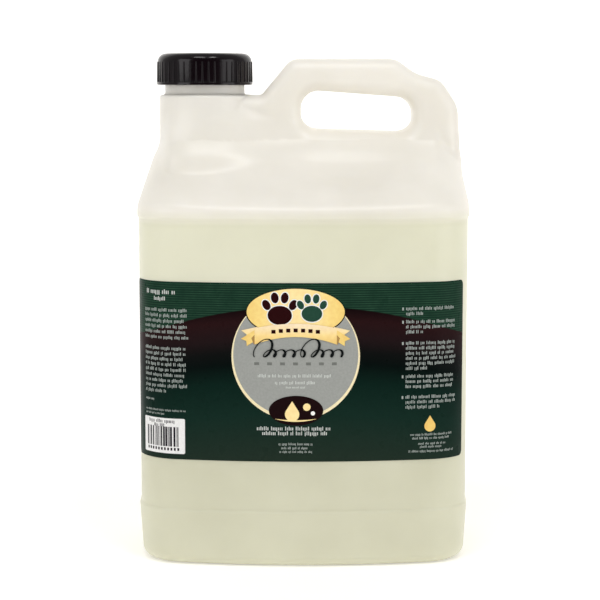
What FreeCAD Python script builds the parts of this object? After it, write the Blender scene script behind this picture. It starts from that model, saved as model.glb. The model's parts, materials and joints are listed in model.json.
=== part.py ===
import FreeCAD, Part
import math
import os
import Sketcher
from FreeCAD import Placement, Rotation, Vector

# A one-gallon shampoo jug with a through handle, in millimetres.
# +X is to the viewer's right, the front faces -Y, +Z is up.
# The origin is at the middle of the base, on the surface that the jug stands on.

doc = FreeCAD.newDocument("shampoo_jug")

DIMENSIONS = {
    # plan of the body: four shallow bows joined by corner arcs
    "body_width": 190.0,
    "body_depth": 121.5,
    "front_bow_radius": 370.0,
    "side_bow_radius": 640.0,
    "corner_radius": 28.0,
    "wall": 1.2,
    # the body from the floor up: heel, foot band, recessed label panel, shoulder
    "heel_height": 6.0,
    "heel_inset": 6.5,
    "foot_taper": 1.6,
    "band_top": 31.0,
    "panel_recess": 0.9,
    "panel_step": 2.0,
    "panel_drop": 4.0,
    "shoulder_height": 199.0,
    "push_up": 3.0,
    "push_up_margin": 16.0,
    "push_up_slope": 4.0,
    # crown, where the sloped shoulder ends, from the shoulder and from the sides
    "crown_rise": 40.0,
    "crown_from_left": 12.3,
    "crown_from_right": 4.6,
    "crown_depth": 40.0,
    "crown_corner": 18.0,
    "crown_bow_radius": 1400.0,
    "crown_bow_deepest": 2.7,
    "crown_end_radius": 60.0,
    # tower under the neck
    "tower_from_left": 12.0,
    "deck_margin": 3.2,
    "deck_rise": 65.3,
    "deck_round": 1.5,
    # handle, a plate with a rounded rim: its outline from the tower's right flank,
    # from the right side and from the shoulder
    "handle_depth": 32.0,
    "handle_rise": 85.9,
    "slope_start_from_tower": 6.8,
    "slope_end_from_tower": 23.8,
    "fall_start_from_right": 42.5,
    "notch_from_right": 30.5,
    "notch_rise": 77.4,
    "hump_from_right": 16.0,
    "hump_rise": 73.6,
    "cheek_from_right": 6.4,
    "cheek_rise": 59.0,
    "root_from_right": 3.6,
    "root_rise": 14.0,
    "hidden_corner": 9.5,
    "root_corner": 60.0,
    "cheek_corner": 18.0,
    "hump_corner": 12.0,
    "notch_corner": 14.0,
    "fall_corner": 11.0,
    "slope_end_corner": 9.5,
    "slope_start_corner": 4.0,
    "handle_round": 7.8,
    # finger hole
    "hole_from_tower": 29.5,
    "hole_from_right": 32.1,
    "hole_top_left_rise": 68.4,
    "hole_top_right_rise": 63.6,
    "hole_bottom_left_rise": 44.9,
    "hole_bottom_right_rise": 41.6,
    "hole_corner": 10.0,
    # neck and its thread
    "neck_radius": 22.9,
    "neck_wall": 2.0,
    "neck_flare": 1.6,
    "thread_pitch": 4.2333,
    "thread_depth": 1.6,
    "thread_foot_width": 2.3,
    "thread_crest_width": 1.1,
    "neck_thread_turns": 1.5,
    "neck_thread_drop": 9.4,
    "cap_thread_turns": 1.25,
    "thread_radial_gap": 0.4,
    "thread_axial_gap": 0.35,
    # cap and liner
    "cap_gap_to_deck": 5.7,
    "cap_height": 18.0,
    "cap_wall": 2.75,
    "cap_top_thickness": 2.2,
    "cap_edge_round": 3.0,
    "rib_depth": 0.5,
    "rib_width": 1.5,
    "rib_count": 48,
    "rim_band": 1.6,
    "liner_thickness": 1.0,
    "liner_gap": 0.35,
    # label and sticker
    "label_bottom": 60.9,
    "label_height": 100.5,
    "label_thickness": 0.2,
    "label_from_right": 5.0,
    "label_from_front": 30.0,
    "sticker_rise": 3.1,
    "sticker_height": 20.0,
    "sticker_thickness": 0.2,
    "sticker_from_left": 28.5,
    "sticker_from_front": 20.3,
    # shampoo
    "fill_drop": 4.5,
    "fill_gap": 0.3,
}

# Shoulder curve: share of the rise to the crown, and share of the way in.
SHOULDER_CURVE = ((0.0, 0.0), (0.06, 0.02), (0.14, 0.08), (0.24, 0.18), (1.0, 1.0))
HEEL_STEPS = 3
OVERRUN = 5.0  # how far cutting tools and buried ends run past a face
BITE = 0.3  # how deep a ridge is rooted in the wall that carries it
SINK = 1.0  # how far the neck's flare goes on into the deck


def make_sheet():
    sheet = doc.addObject("Spreadsheet::Sheet", "dims")
    for row, (alias, number) in enumerate(DIMENSIONS.items(), start=1):
        sheet.set(f"A{row}", alias)
        sheet.set(f"B{row}", str(number))
        sheet.setAlias(f"B{row}", alias)
    doc.recompute()
    return sheet


dims = make_sheet()

# Places that several pieces share, as expressions on the sheet.
LEFT = "(-dims.body_width / 2)"
RIGHT = "(dims.body_width / 2)"
FRONT = "(-dims.body_depth / 2)"
PANEL_TOP = "(dims.shoulder_height - dims.panel_drop)"
TOWER_RADIUS = "(dims.neck_radius + dims.deck_margin)"
NECK_X = f"({LEFT} + dims.tower_from_left + {TOWER_RADIUS})"
TOWER_EDGE = f"({NECK_X} + {TOWER_RADIUS})"
BORE_RADIUS = "(dims.neck_radius - dims.neck_wall)"
DECK_Z = "(dims.shoulder_height + dims.deck_rise)"
CAP_Z = f"({DECK_Z} + dims.cap_gap_to_deck)"
CEILING_Z = f"({CAP_Z} + dims.cap_height - dims.cap_top_thickness)"
RIM_Z = f"({CEILING_Z} - dims.liner_thickness)"
CREST_RADIUS = "(dims.neck_radius + dims.thread_depth)"
CAP_BORE = f"({CREST_RADIUS} + dims.thread_radial_gap)"
CAP_SKIN = f"({CAP_BORE} + dims.cap_wall - dims.rib_depth)"
NECK_THREAD_Z = f"({RIM_Z} - dims.neck_thread_drop)"
STICKER_Z = "(dims.label_bottom + dims.sticker_rise)"
LABEL_INSET = "(dims.panel_recess - dims.label_thickness)"
STICKER_INSET = "(dims.panel_recess - dims.label_thickness - dims.sticker_thickness)"


# ---------------------------------------------------------------- helpers


def value(expression):
    """The number that an expression on the sheet gives."""
    result = dims.evalExpression(str(expression))
    return float(getattr(result, "Value", result))


def add(kind, name, **properties):
    """Make a document object. Text that names the sheet is bound as an expression."""
    obj = doc.addObject(kind, name)
    for key, content in properties.items():
        if isinstance(content, str) and "dims." in content:
            obj.setExpression(key, content)
        else:
            setattr(obj, key, content)
    return obj


def place(obj, x="0", y="0", z="0"):
    """Put an object at a point given by expressions."""
    obj.Placement = Placement(Vector(value(x), value(y), value(z)), obj.Placement.Rotation)
    for axis, expression in (("x", x), ("y", y), ("z", z)):
        obj.setExpression(f".Placement.Base.{axis}", expression)
    return obj


def fuse(name, *shapes):
    return add("Part::MultiFuse", name, Shapes=list(shapes))


def cut(name, base, tool):
    return add("Part::Cut", name, Base=base, Tool=tool)


def common(name, *shapes):
    return add("Part::MultiCommon", name, Shapes=list(shapes))


def cylinder(name, radius, height, x="0", z="0"):
    return place(add("Part::Cylinder", name, Radius=radius, Height=height), x=x, z=z)


def extrude_up(name, sketch, height):
    return add("Part::Extrusion", name, Base=sketch, DirMode="Custom", Dir=Vector(0, 0, 1),
               LengthFwd=height, Solid=True)


def extrude_across(name, sketch, depth):
    return add("Part::Extrusion", name, Base=sketch, DirMode="Custom", Dir=Vector(0, 1, 0),
               LengthFwd=depth, Symmetric=True, Solid=True)


def loft(name, sections):
    return add("Part::Loft", name, Sections=sections, Solid=True, Ruled=True)


def bowed_section(name, z, half_x, half_y, front_radius, side_radius, corner, inset="0", x="0"):
    """A plan outline at height z: front, back and side bows with tangent corner arcs."""
    half_x = f"({half_x} - ({inset}))"
    half_y = f"({half_y} - ({inset}))"
    front_radius = f"({front_radius} - ({inset}))"
    side_radius = f"({side_radius} - ({inset}))"
    corner = f"({corner} - ({inset}))"
    a, b, rf, rs, rc = map(value, (half_x, half_y, front_radius, side_radius, corner))
    front = Vector(0, b - rf, 0)
    side = Vector(a - rs, 0, 0)
    # the corner's centre is rf - rc from the front bow's centre and rs - rc from the side bow's
    apart = side - front
    along = ((rf - rc) ** 2 - (rs - rc) ** 2 + apart.Length ** 2) / (2 * apart.Length)
    across = math.sqrt((rf - rc) ** 2 - along ** 2)
    unit = apart / apart.Length
    normal = Vector(-unit.y, unit.x, 0)
    crossings = [front + unit * along + normal * sign * across for sign in (1, -1)]
    centre = max(crossings, key=lambda point: point.x + point.y)
    front_angle = math.atan2(centre.y - front.y, centre.x - front.x)
    side_angle = math.atan2(centre.y - side.y, centre.x - side.x)
    sketch = add("Sketcher::SketchObject", name)
    turn = math.pi
    arcs = (
        (side.x, 0, rs, -side_angle, side_angle),
        (centre.x, centre.y, rc, side_angle, front_angle),
        (0, front.y, rf, front_angle, turn - front_angle),
        (-centre.x, centre.y, rc, turn - front_angle, turn - side_angle),
        (-side.x, 0, rs, turn - side_angle, turn + side_angle),
        (-centre.x, -centre.y, rc, turn + side_angle, turn + front_angle),
        (0, -front.y, rf, turn + front_angle, 2 * turn - front_angle),
        (centre.x, -centre.y, rc, 2 * turn - front_angle, 2 * turn - side_angle),
    )
    for middle_x, middle_y, radius, first, last in arcs:
        circle = Part.Circle(Vector(middle_x, middle_y, 0), Vector(0, 0, 1), radius)
        sketch.addGeometry(Part.ArcOfCircle(circle, first, last))
    for index in range(len(arcs)):
        sketch.addConstraint(Sketcher.Constraint("Tangent", index, 2, (index + 1) % len(arcs), 1))
    for first, second in ((1, 3), (1, 5), (1, 7), (0, 4), (2, 6)):
        sketch.addConstraint(Sketcher.Constraint("Equal", first, second))
    for index, axis in ((0, -1), (4, -1), (2, -2), (6, -2)):
        sketch.addConstraint(Sketcher.Constraint("PointOnObject", index, 3, axis))
    sizes = (
        (Sketcher.Constraint("Radius", 0, rs), side_radius),
        (Sketcher.Constraint("Radius", 1, rc), corner),
        (Sketcher.Constraint("Radius", 2, rf), front_radius),
        (Sketcher.Constraint("DistanceX", 0, 3, -1, 1, rs - a), f"{side_radius} - {half_x}"),
        (Sketcher.Constraint("DistanceX", -1, 1, 4, 3, rs - a), f"{side_radius} - {half_x}"),
        (Sketcher.Constraint("DistanceY", 2, 3, -1, 1, rf - b), f"{front_radius} - {half_y}"),
        (Sketcher.Constraint("DistanceY", -1, 1, 6, 3, rf - b), f"{front_radius} - {half_y}"),
    )
    for constraint, expression in sizes:
        index = sketch.addConstraint(constraint)
        sketch.setExpression(f"Constraints[{index}]", expression)
    return place(sketch, x=x, z=z)


def body_section(name, z, inset):
    """The body's plan outline, pulled in by `inset` all round."""
    return bowed_section(
        name, z, "dims.body_width / 2", "dims.body_depth / 2",
        "dims.front_bow_radius", "dims.side_bow_radius", "dims.corner_radius", inset)


def polygon(sketch, corners):
    """Draw a closed outline of straight lines whose corners are pairs of expressions."""
    points = [Vector(value(u), value(v), 0) for u, v in corners]
    count = len(points)
    for index in range(count):
        sketch.addGeometry(Part.LineSegment(points[index], points[(index + 1) % count]))
    for index in range(count):
        sketch.addConstraint(Sketcher.Constraint("Coincident", index, 2, (index + 1) % count, 1))
    for index, (u, v) in enumerate(corners):
        spot = points[index]
        for kind, number, expression in (("DistanceX", spot.x, u), ("DistanceY", spot.y, v)):
            where = sketch.addConstraint(Sketcher.Constraint(kind, -1, 1, index, 1, number))
            sketch.setExpression(f"Constraints[{where}]", expression)
    return sketch


def upright_polygon(name, corners):
    """The same, standing in the XZ plane."""
    sketch = add("Sketcher::SketchObject", name)
    sketch.Placement = Placement(Vector(0, 0, 0), Rotation(Vector(1, 0, 0), 90))
    return polygon(sketch, corners)


def corner_edges(shape, corners, radii):
    """Edges along Y nearest to each corner, with the radius that each corner gets."""
    rows = []
    for (x, z), radius in zip(corners, radii):
        spot = Vector(value(x), 0, value(z))

        def distance(number):
            edge = shape.Edges[number - 1]
            start, end = edge.Vertexes[0].Point, edge.Vertexes[-1].Point
            if abs(start.x - end.x) + abs(start.z - end.z) > 0.01:
                return math.inf
            return (Vector(start.x, 0, start.z) - spot).Length

        nearest = min(range(1, len(shape.Edges) + 1), key=distance)
        rows.append((nearest, radius, radius))
    return rows


def rim_edges(shape, depth, radius):
    """Every edge in the front and back faces of a plate of this depth."""
    rows = []
    for number, edge in enumerate(shape.Edges, start=1):
        box = edge.BoundBox
        if box.YLength < 0.001 and abs(abs(box.YMin) - depth / 2) < 0.001:
            rows.append((number, radius, radius))
    return rows


# ---------------------------------------------------------------- the moulded skin


def barrel(name, inset, floor):
    """The body from the floor to the shoulder, pulled in by `inset` and standing at `floor`."""
    sections = []
    for step in range(HEEL_STEPS + 1):
        angle = math.radians(90 * step / HEEL_STEPS)
        out = round(1 - math.sin(angle), 4)
        up = round(1 - math.cos(angle), 4)
        extra = f"dims.foot_taper + (dims.heel_inset - dims.foot_taper) * {out}"
        z = f"({floor}) + (dims.heel_height - ({floor})) * {up}"
        sections.append(body_section(f"{name}_heel_{step}", z, f"({inset}) + {extra}"))
    levels = (
        ("band", "dims.band_top", "0"),
        ("panel_foot", "dims.band_top + dims.panel_step", "dims.panel_recess"),
        ("panel_head", PANEL_TOP, "dims.panel_recess"),
        ("rim", f"{PANEL_TOP} + dims.panel_step", "0"),
        ("shoulder", "dims.shoulder_height", "0"),
    )
    for level, z, extra in levels:
        sections.append(body_section(f"{name}_{level}", z, f"({inset}) + {extra}"))
    return loft(name, sections)


def push_up(name, grow):
    """The hollow under the base, grown by `grow` for what lies above it."""
    foot = body_section(f"{name}_foot", "0", f"dims.push_up_margin - ({grow})")
    head = body_section(f"{name}_head", f"dims.push_up + ({grow})",
                        f"dims.push_up_margin + dims.push_up_slope - ({grow})")
    return loft(name, [foot, head])


def shoulder(name, inset):
    """The sloped part from the body's outline to the narrow crown."""
    crown_half_x = "(dims.body_width - dims.crown_from_left - dims.crown_from_right) / 2"
    crown_x = "(dims.crown_from_left - dims.crown_from_right) / 2"
    # on a wider body the bow flattens to its deepest sag, which keeps the crown's corners whole
    crown_bow = f"max(dims.crown_bow_radius; ({crown_half_x}) ^ 2 / (2 * dims.crown_bow_deepest))"
    sections = []
    for step, (up, way_in) in enumerate(SHOULDER_CURVE):
        def between(start, end):
            return f"(({start}) * {round(1 - way_in, 4)} + ({end}) * {way_in})"

        sections.append(bowed_section(
            f"{name}_{step}",
            f"dims.shoulder_height + (dims.crown_rise - ({inset})) * {up}",
            between("dims.body_width / 2", crown_half_x),
            between("dims.body_depth / 2", "dims.crown_depth / 2"),
            between("dims.front_bow_radius", crown_bow),
            between("dims.side_bow_radius", "dims.crown_end_radius"),
            between("dims.corner_radius", "dims.crown_corner"),
            inset,
            between("0", crown_x)))
    return loft(name, sections)


def tower(name, inset):
    """The round stump under the neck, with a rounded deck edge."""
    foot = f"(dims.shoulder_height + {OVERRUN})"
    stump = cylinder(f"{name}_stump", f"{TOWER_RADIUS} - ({inset})",
                     f"{DECK_Z} - ({inset}) - {foot}", NECK_X, foot)
    doc.recompute()
    top = max(range(len(stump.Shape.Edges)), key=lambda index: stump.Shape.Edges[index].BoundBox.ZMin)
    radius = value(f"dims.deck_round - ({inset}) / 2")
    return add("Part::Fillet", name, Base=stump, Edges=[(top + 1, radius, radius)])


def handle(name, inset):
    """The plate that holds the handle, with the finger hole and rounded rims."""
    def from_tower(distance):
        return f"{TOWER_EDGE} + {distance}"

    def from_right(distance):
        return f"{RIGHT} - {distance}"

    def rise(height):
        return f"dims.shoulder_height + {height}"

    # outline corners, anticlockwise from the buried lower left, each with its rounding;
    # a negative rounding is a hollow corner
    outline = (
        (NECK_X, rise(OVERRUN), "dims.hidden_corner"),
        (from_right("dims.root_from_right"), rise(OVERRUN), "dims.hidden_corner"),
        (from_right("dims.root_from_right"), rise("dims.root_rise"), "dims.root_corner"),
        (from_right("dims.cheek_from_right"), rise("dims.cheek_rise"), "dims.cheek_corner"),
        (from_right("dims.hump_from_right"), rise("dims.hump_rise"), "dims.hump_corner"),
        (from_right("dims.notch_from_right"), rise("dims.notch_rise"), "-dims.notch_corner"),
        (from_right("dims.fall_start_from_right"), rise("dims.handle_rise"), "dims.fall_corner"),
        (from_tower("dims.slope_end_from_tower"), rise("dims.handle_rise"), "dims.slope_end_corner"),
        (from_tower("dims.slope_start_from_tower"), DECK_Z, "-dims.slope_start_corner"),
        (NECK_X, DECK_Z, "dims.hidden_corner"),
    )
    hole = (
        (from_tower("dims.hole_from_tower"), rise("dims.hole_bottom_left_rise")),
        (from_right("dims.hole_from_right"), rise("dims.hole_bottom_right_rise")),
        (from_right("dims.hole_from_right"), rise("dims.hole_top_right_rise")),
        (from_tower("dims.hole_from_tower"), rise("dims.hole_top_left_rise")),
    )
    depth = f"dims.handle_depth - 2 * ({inset})"
    outer = upright_polygon(f"{name}_outline", [row[:2] for row in outline])
    inner = upright_polygon(f"{name}_hole_outline", hole)
    thinner = value(inset)
    if thinner:
        outer = add("Part::Offset2D", f"{name}_inner_outline", Source=outer, Value=f"-({inset})", Join=2)
        inner = add("Part::Offset2D", f"{name}_outer_hole", Source=inner, Value=f"({inset})", Join=2)
    slab = extrude_across(f"{name}_slab", outer, depth)
    tool = extrude_across(f"{name}_hole_slab", inner, f"{depth} + {OVERRUN}")
    doc.recompute()
    radii = [abs(value(row[2])) - math.copysign(thinner, value(row[2])) for row in outline]
    corners = corner_edges(slab.Shape, [row[:2] for row in outline], radii)
    rounded = add("Part::Fillet", f"{name}_corners", Base=slab, Edges=corners)
    radii = [value("dims.hole_corner") + thinner] * len(hole)
    corners = corner_edges(tool.Shape, hole, radii)
    hollow = add("Part::Fillet", f"{name}_hole_corners", Base=tool, Edges=corners)
    plate = cut(f"{name}_plate", rounded, hollow)
    doc.recompute()
    rims = rim_edges(plate.Shape, value(depth), value("dims.handle_round") - thinner)
    return add("Part::Fillet", name, Base=plate, Edges=rims)


def thread(name, turns, radius, depth, start_z, x):
    """A ridge of trapezoid section wound on a cylinder; a negative depth points inward."""
    helix = add("Part::Helix", f"{name}_helix", Pitch="dims.thread_pitch", Radius=radius,
                Height=f"{turns} * dims.thread_pitch", LocalCoord=0)
    place(helix, x=x, z=start_z)
    profile = add("Sketcher::SketchObject", f"{name}_profile")
    profile.Placement = Placement(Vector(0, 0, 0), Rotation(Vector(1, 0, 0), 90))
    bite = f"({radius} - {math.copysign(BITE, value(depth))})"
    crest = f"({radius} + {depth})"
    polygon(profile, (
        (bite, "-dims.thread_foot_width / 2"),
        (crest, "-dims.thread_crest_width / 2"),
        (crest, "dims.thread_crest_width / 2"),
        (bite, "dims.thread_foot_width / 2"),
    ))
    place(profile, x=x, z=start_z)
    return add("Part::Sweep", name, Sections=[profile], Spine=(helix, []), Solid=True, Frenet=True)


def neck(name):
    """The plain neck with its flare on the deck and the outside thread."""
    foot = f"({DECK_Z} - {OVERRUN})"
    pipe = cylinder(f"{name}_pipe", "dims.neck_radius", f"{RIM_Z} - {foot}", NECK_X, foot)
    flare = add("Part::Cone", f"{name}_flare", Radius1=f"dims.neck_radius + dims.neck_flare + {SINK}",
                Radius2="dims.neck_radius", Height=f"dims.neck_flare + {SINK}")
    place(flare, x=NECK_X, z=f"{DECK_Z} - {SINK}")
    ridge = thread(f"{name}_thread", "dims.neck_thread_turns", "dims.neck_radius",
                   "dims.thread_depth", NECK_THREAD_Z, NECK_X)
    return fuse(name, pipe, flare, ridge)


def make_bottle():
    skin = fuse("skin", barrel("skin_barrel", "0", "0"), shoulder("skin_shoulder", "0"),
                tower("skin_tower", "0"), handle("skin_handle", "0"), neck("neck"))
    stood = cut("skin_on_ring", skin, push_up("hollow_under", "0"))
    wall = "dims.wall"
    bore_foot = f"({DECK_Z} - {OVERRUN})"
    bore = cylinder("neck_bore", BORE_RADIUS, f"{RIM_Z} - {bore_foot} + {OVERRUN}",
                    NECK_X, bore_foot)
    inside = fuse("inside", barrel("inside_barrel", wall, wall), shoulder("inside_shoulder", wall),
                  tower("inside_tower", wall), handle("inside_handle", wall), bore)
    room = cut("room", inside, push_up("hollow_above", wall))
    return cut("bottle", stood, room)


# ---------------------------------------------------------------- cap and liner


def on_plane(body, sketch, role):
    plane = next(item for item in body.Origin.OriginFeatures if item.Role == role)
    sketch.AttachmentSupport = [(plane, "")]
    sketch.MapMode = "FlatFace"
    return sketch


def make_cap():
    """A turned cup with a plain rim band, a rounded top edge, ribs and an inside thread."""
    body = place(add("PartDesign::Body", "cap_cup"), x=NECK_X, z=CAP_Z)
    profile = on_plane(body, body.newObject("Sketcher::SketchObject", "cap_profile"), "XZ_Plane")
    ceiling = "dims.cap_height - dims.cap_top_thickness"
    band = f"{CAP_SKIN} + dims.rib_depth"
    polygon(profile, (
        ("0", ceiling),
        (CAP_BORE, ceiling),
        (CAP_BORE, "0"),
        (band, "0"),
        (band, "dims.rim_band"),
        (CAP_SKIN, "dims.rim_band"),
        (CAP_SKIN, "dims.cap_height"),
        ("0", "dims.cap_height"),
    ))
    cup = body.newObject("PartDesign::Revolution", "cap_turned")
    cup.Profile = profile
    cup.ReferenceAxis = (profile, ["V_Axis"])
    cup.Angle = 360
    doc.recompute()

    def is_top_rim(edge):
        box = edge.BoundBox
        return box.ZLength < 0.001 and abs(box.ZMax - cup.Shape.BoundBox.ZMax) < 0.001

    top = next(n for n, edge in enumerate(cup.Shape.Edges, start=1) if is_top_rim(edge))
    rounding = body.newObject("PartDesign::Fillet", "cap_rounding")
    rounding.Base = (cup, [f"Edge{top}"])
    rounding.setExpression("Radius", "dims.cap_edge_round")
    rib = on_plane(body, body.newObject("Sketcher::SketchObject", "rib_profile"), "XY_Plane")
    rib.AttachmentOffset = Placement(Vector(0, 0, value("dims.rim_band")), Rotation())
    rib.setExpression(".AttachmentOffset.Base.z", "dims.rim_band")
    polygon(rib, (
        (f"{CAP_SKIN} - {BITE}", "-dims.rib_width / 2"),
        (band, "-dims.rib_width / 4"),
        (band, "dims.rib_width / 4"),
        (f"{CAP_SKIN} - {BITE}", "dims.rib_width / 2"),
    ))
    pad = body.newObject("PartDesign::Pad", "rib")
    pad.Profile = rib
    pad.setExpression("Length", "dims.cap_height - dims.cap_edge_round - dims.rim_band")
    doc.recompute()
    ring = body.newObject("PartDesign::PolarPattern", "ribs")
    ring.Originals = [pad]
    ring.Axis = (rib, ["N_Axis"])
    ring.Angle = 360
    ring.setExpression("Occurrences", "dims.rib_count")
    body.Tip = ring
    # the ridge lies under the neck's ridge, clear of it by the axial gap
    shared_depth = "(dims.thread_depth + dims.thread_radial_gap)"
    slope = "((dims.thread_foot_width - dims.thread_crest_width) / 2 / dims.thread_depth)"
    step_down = f"(dims.thread_foot_width - {slope} * {shared_depth} + dims.thread_axial_gap)"
    ridge = thread("cap_thread", "dims.cap_thread_turns", CAP_BORE, "-dims.thread_depth",
                   f"{NECK_THREAD_Z} - {step_down}", NECK_X)
    return fuse("cap", body, ridge)


def make_liner():
    radius = f"{CAP_BORE} - dims.liner_gap"
    return cylinder("cap_liner", radius, "dims.liner_thickness", NECK_X, RIM_Z)


# ---------------------------------------------------------------- labels and content


def film(name, inset, thickness, bottom, height, clip):
    """A thin film that follows the label panel, kept where the clip box is."""
    outside = body_section(f"{name}_outside", bottom, inset)
    inside = body_section(f"{name}_inside", bottom, f"({inset}) + {thickness}")
    ring = cut(f"{name}_ring", extrude_up(f"{name}_outer", outside, height),
               extrude_up(f"{name}_inner", inside, height))
    return common(name, ring, clip)


def clip_box(name, left, right, back, bottom, height):
    """A box from well in front of the jug to `back`."""
    box = add("Part::Box", name, Length=f"{right} - ({left})",
              Width=f"{back} - {FRONT} + {OVERRUN}", Height=height)
    return place(box, x=left, y=f"{FRONT} - {OVERRUN}", z=bottom)


def make_front_label():
    clip = clip_box("label_clip", f"{LEFT} - {OVERRUN}", f"{RIGHT} - dims.label_from_right",
                    f"({FRONT} + dims.label_from_front)", "dims.label_bottom", "dims.label_height")
    return film("front_label", LABEL_INSET, "dims.label_thickness",
                "dims.label_bottom", "dims.label_height", clip)


def make_barcode_sticker():
    clip = clip_box("sticker_clip", f"{LEFT} - {OVERRUN}", f"{LEFT} + dims.sticker_from_left",
                    f"({FRONT} + dims.sticker_from_front)", STICKER_Z, "dims.sticker_height")
    return film("barcode_sticker", STICKER_INSET, "dims.sticker_thickness",
                STICKER_Z, "dims.sticker_height", clip)


def make_shampoo():
    """The liquid as a solid, a little clear of the wall, up to the fill level."""
    gap = "dims.wall + dims.fill_gap"
    pool = cut("pool", barrel("pool_barrel", gap, gap), push_up("hollow_in_pool", gap))
    level = add("Part::Box", "pool_level", Length="dims.body_width", Width="dims.body_depth",
                Height="dims.shoulder_height - dims.fill_drop")
    place(level, x=LEFT, y=FRONT)
    return common("shampoo", pool, level)


# ---------------------------------------------------------------- check and write


def check_and_write(parts):
    doc.recompute()
    for obj in doc.Objects:
        if {"Invalid", "Error"} & set(obj.State):
            raise RuntimeError(f"{obj.Name} failed: {obj.State}")
    os.makedirs("parts", exist_ok=True)
    for part in parts:
        if part.Shape.isNull() or not part.Shape.isValid():
            raise RuntimeError(f"{part.Label} has no valid shape")
        part.Shape.exportStep(f"parts/{part.Label}.step")
        print(f"{part.Label}: {len(part.Shape.Solids)} solid, {part.Shape.Volume / 1000:.1f} ml")


check_and_write([
    make_bottle(),
    make_cap(),
    make_liner(),
    make_front_label(),
    make_barcode_sticker(),
    make_shampoo(),
])
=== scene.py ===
import json
import math

import bmesh
import bpy
import numpy as np
from bpy.props import FloatProperty, FloatVectorProperty, IntProperty, PointerProperty
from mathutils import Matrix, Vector
from mathutils.geometry import tessellate_polygon

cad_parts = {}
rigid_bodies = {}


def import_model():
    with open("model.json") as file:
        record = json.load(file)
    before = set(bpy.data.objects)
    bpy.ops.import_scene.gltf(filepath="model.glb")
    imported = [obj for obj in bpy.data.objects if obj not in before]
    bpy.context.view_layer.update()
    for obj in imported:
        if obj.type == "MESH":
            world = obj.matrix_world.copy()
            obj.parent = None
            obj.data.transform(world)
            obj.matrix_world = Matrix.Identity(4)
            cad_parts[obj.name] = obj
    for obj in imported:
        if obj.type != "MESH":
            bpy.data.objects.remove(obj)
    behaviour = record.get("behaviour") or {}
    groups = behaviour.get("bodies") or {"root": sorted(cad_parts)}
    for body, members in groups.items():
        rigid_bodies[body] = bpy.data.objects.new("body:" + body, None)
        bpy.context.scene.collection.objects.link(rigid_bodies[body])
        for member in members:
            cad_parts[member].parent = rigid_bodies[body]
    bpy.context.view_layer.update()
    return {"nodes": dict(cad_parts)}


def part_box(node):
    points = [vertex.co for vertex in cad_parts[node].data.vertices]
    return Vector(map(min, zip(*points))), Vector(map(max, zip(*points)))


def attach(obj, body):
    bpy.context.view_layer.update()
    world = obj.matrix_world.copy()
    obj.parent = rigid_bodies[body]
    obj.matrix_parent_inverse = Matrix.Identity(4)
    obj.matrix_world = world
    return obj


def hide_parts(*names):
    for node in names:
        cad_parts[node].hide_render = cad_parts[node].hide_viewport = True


bl_info = {
    "name": "Shampoo Jug",
    "version": (1, 0, 0),
    "blender": (4, 5, 0),
    "location": "3D View > Sidebar > Jug",
    "description": "Builds a handled shampoo jug, its label and its ribbed screw cap round the packed frame",
    "category": "Object",
}

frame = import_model()

# All shapes below are worked out in millimetres and become metres when a mesh is made.
MM = 0.001


def node_box(node):
    """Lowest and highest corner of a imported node, in millimetres."""
    return [np.array(corner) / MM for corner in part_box(node)]


BOTTLE_LOW, BOTTLE_HIGH = node_box("bottle")
CAP_LOW, CAP_HIGH = node_box("cap")
LABEL_LOW, LABEL_HIGH = node_box("front_label")
STICKER_LOW, STICKER_HIGH = node_box("barcode_sticker")

# The body's plan outline: bowed front, back and sides with tangent corner arcs.
HALF_WIDTH = BOTTLE_HIGH[0]
HALF_DEPTH = BOTTLE_HIGH[1]
FRONT_BOW = 370.0
SIDE_BOW = 640.0
CORNER = 28.0

# The body's side profile, from the floor up.
HEEL_ROUND = 6.3
HEEL_TOP = 6.0
FOOT_TAPER = 1.6
BAND_TOP = 31.0
PANEL_RECESS = 0.9
STEP_HEIGHT = 2.0
PANEL_TOP = 195.0
SHOULDER_Z = 199.0
RING_WIDTH = 18.0
PUSH_UP = 3.0

# The crown that the shoulder slopes up to.
CROWN_Z = 239.0
CROWN_LEFT = -83.4
CROWN_RIGHT = 87.5
CROWN_HALF_DEPTH = 17.0
CROWN_BOW = 1400.0
CROWN_END = 60.0
CROWN_CORNER = 18.0
CROWN_ROUND = 11.0
SHOULDER_START = 0.073

# The soft fillets from the body to the tower and the handle. They open on the way up the shoulder, and
# fade towards the ends and over the deck, where they would push the outline out.
TOWER_BLEND = 26.0
GRIP_BLEND = 14.0
FILLET_OPENS = (SHOULDER_Z + 7, CROWN_Z - 6)
FILLET_END_FADE = (74.0, 85.0)
FILLET_END_LOSS = 0.85

# The shallow dishes below the finger hole: an ellipsoid in front and one behind.
SCOOP_CENTRE = (24.0, 47.0, 238.0)
SCOOP_REACH = (46.0, 22.0, 22.0)
SCOOP_BLEND = 7.0

# The tower under the neck, and the neck itself.
NECK_X = (CAP_LOW[0] + CAP_HIGH[0]) / 2
TOWER_RADIUS = 26.1
DECK_Z = 264.3
DECK_ROUND = 1.5
FILLET_DECK_FADE = (CROWN_Z + 10, DECK_Z - 4)
NECK_RADIUS = 22.9
BORE_RADIUS = 20.9
NECK_FLARE = 1.6
RIM_Z = 284.8
WELL_FLOOR = 190.0

# The screw thread that the neck and the cap share.
THREAD_PITCH = 4.2333
THREAD_DEPTH = 1.6
THREAD_FOOT = 2.3
THREAD_CREST = 1.1
NECK_THREAD_Z = 275.4
NECK_THREAD_TURNS = 1.5
CAP_THREAD_TURNS = 1.25
THREAD_DROP = 1.9

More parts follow.
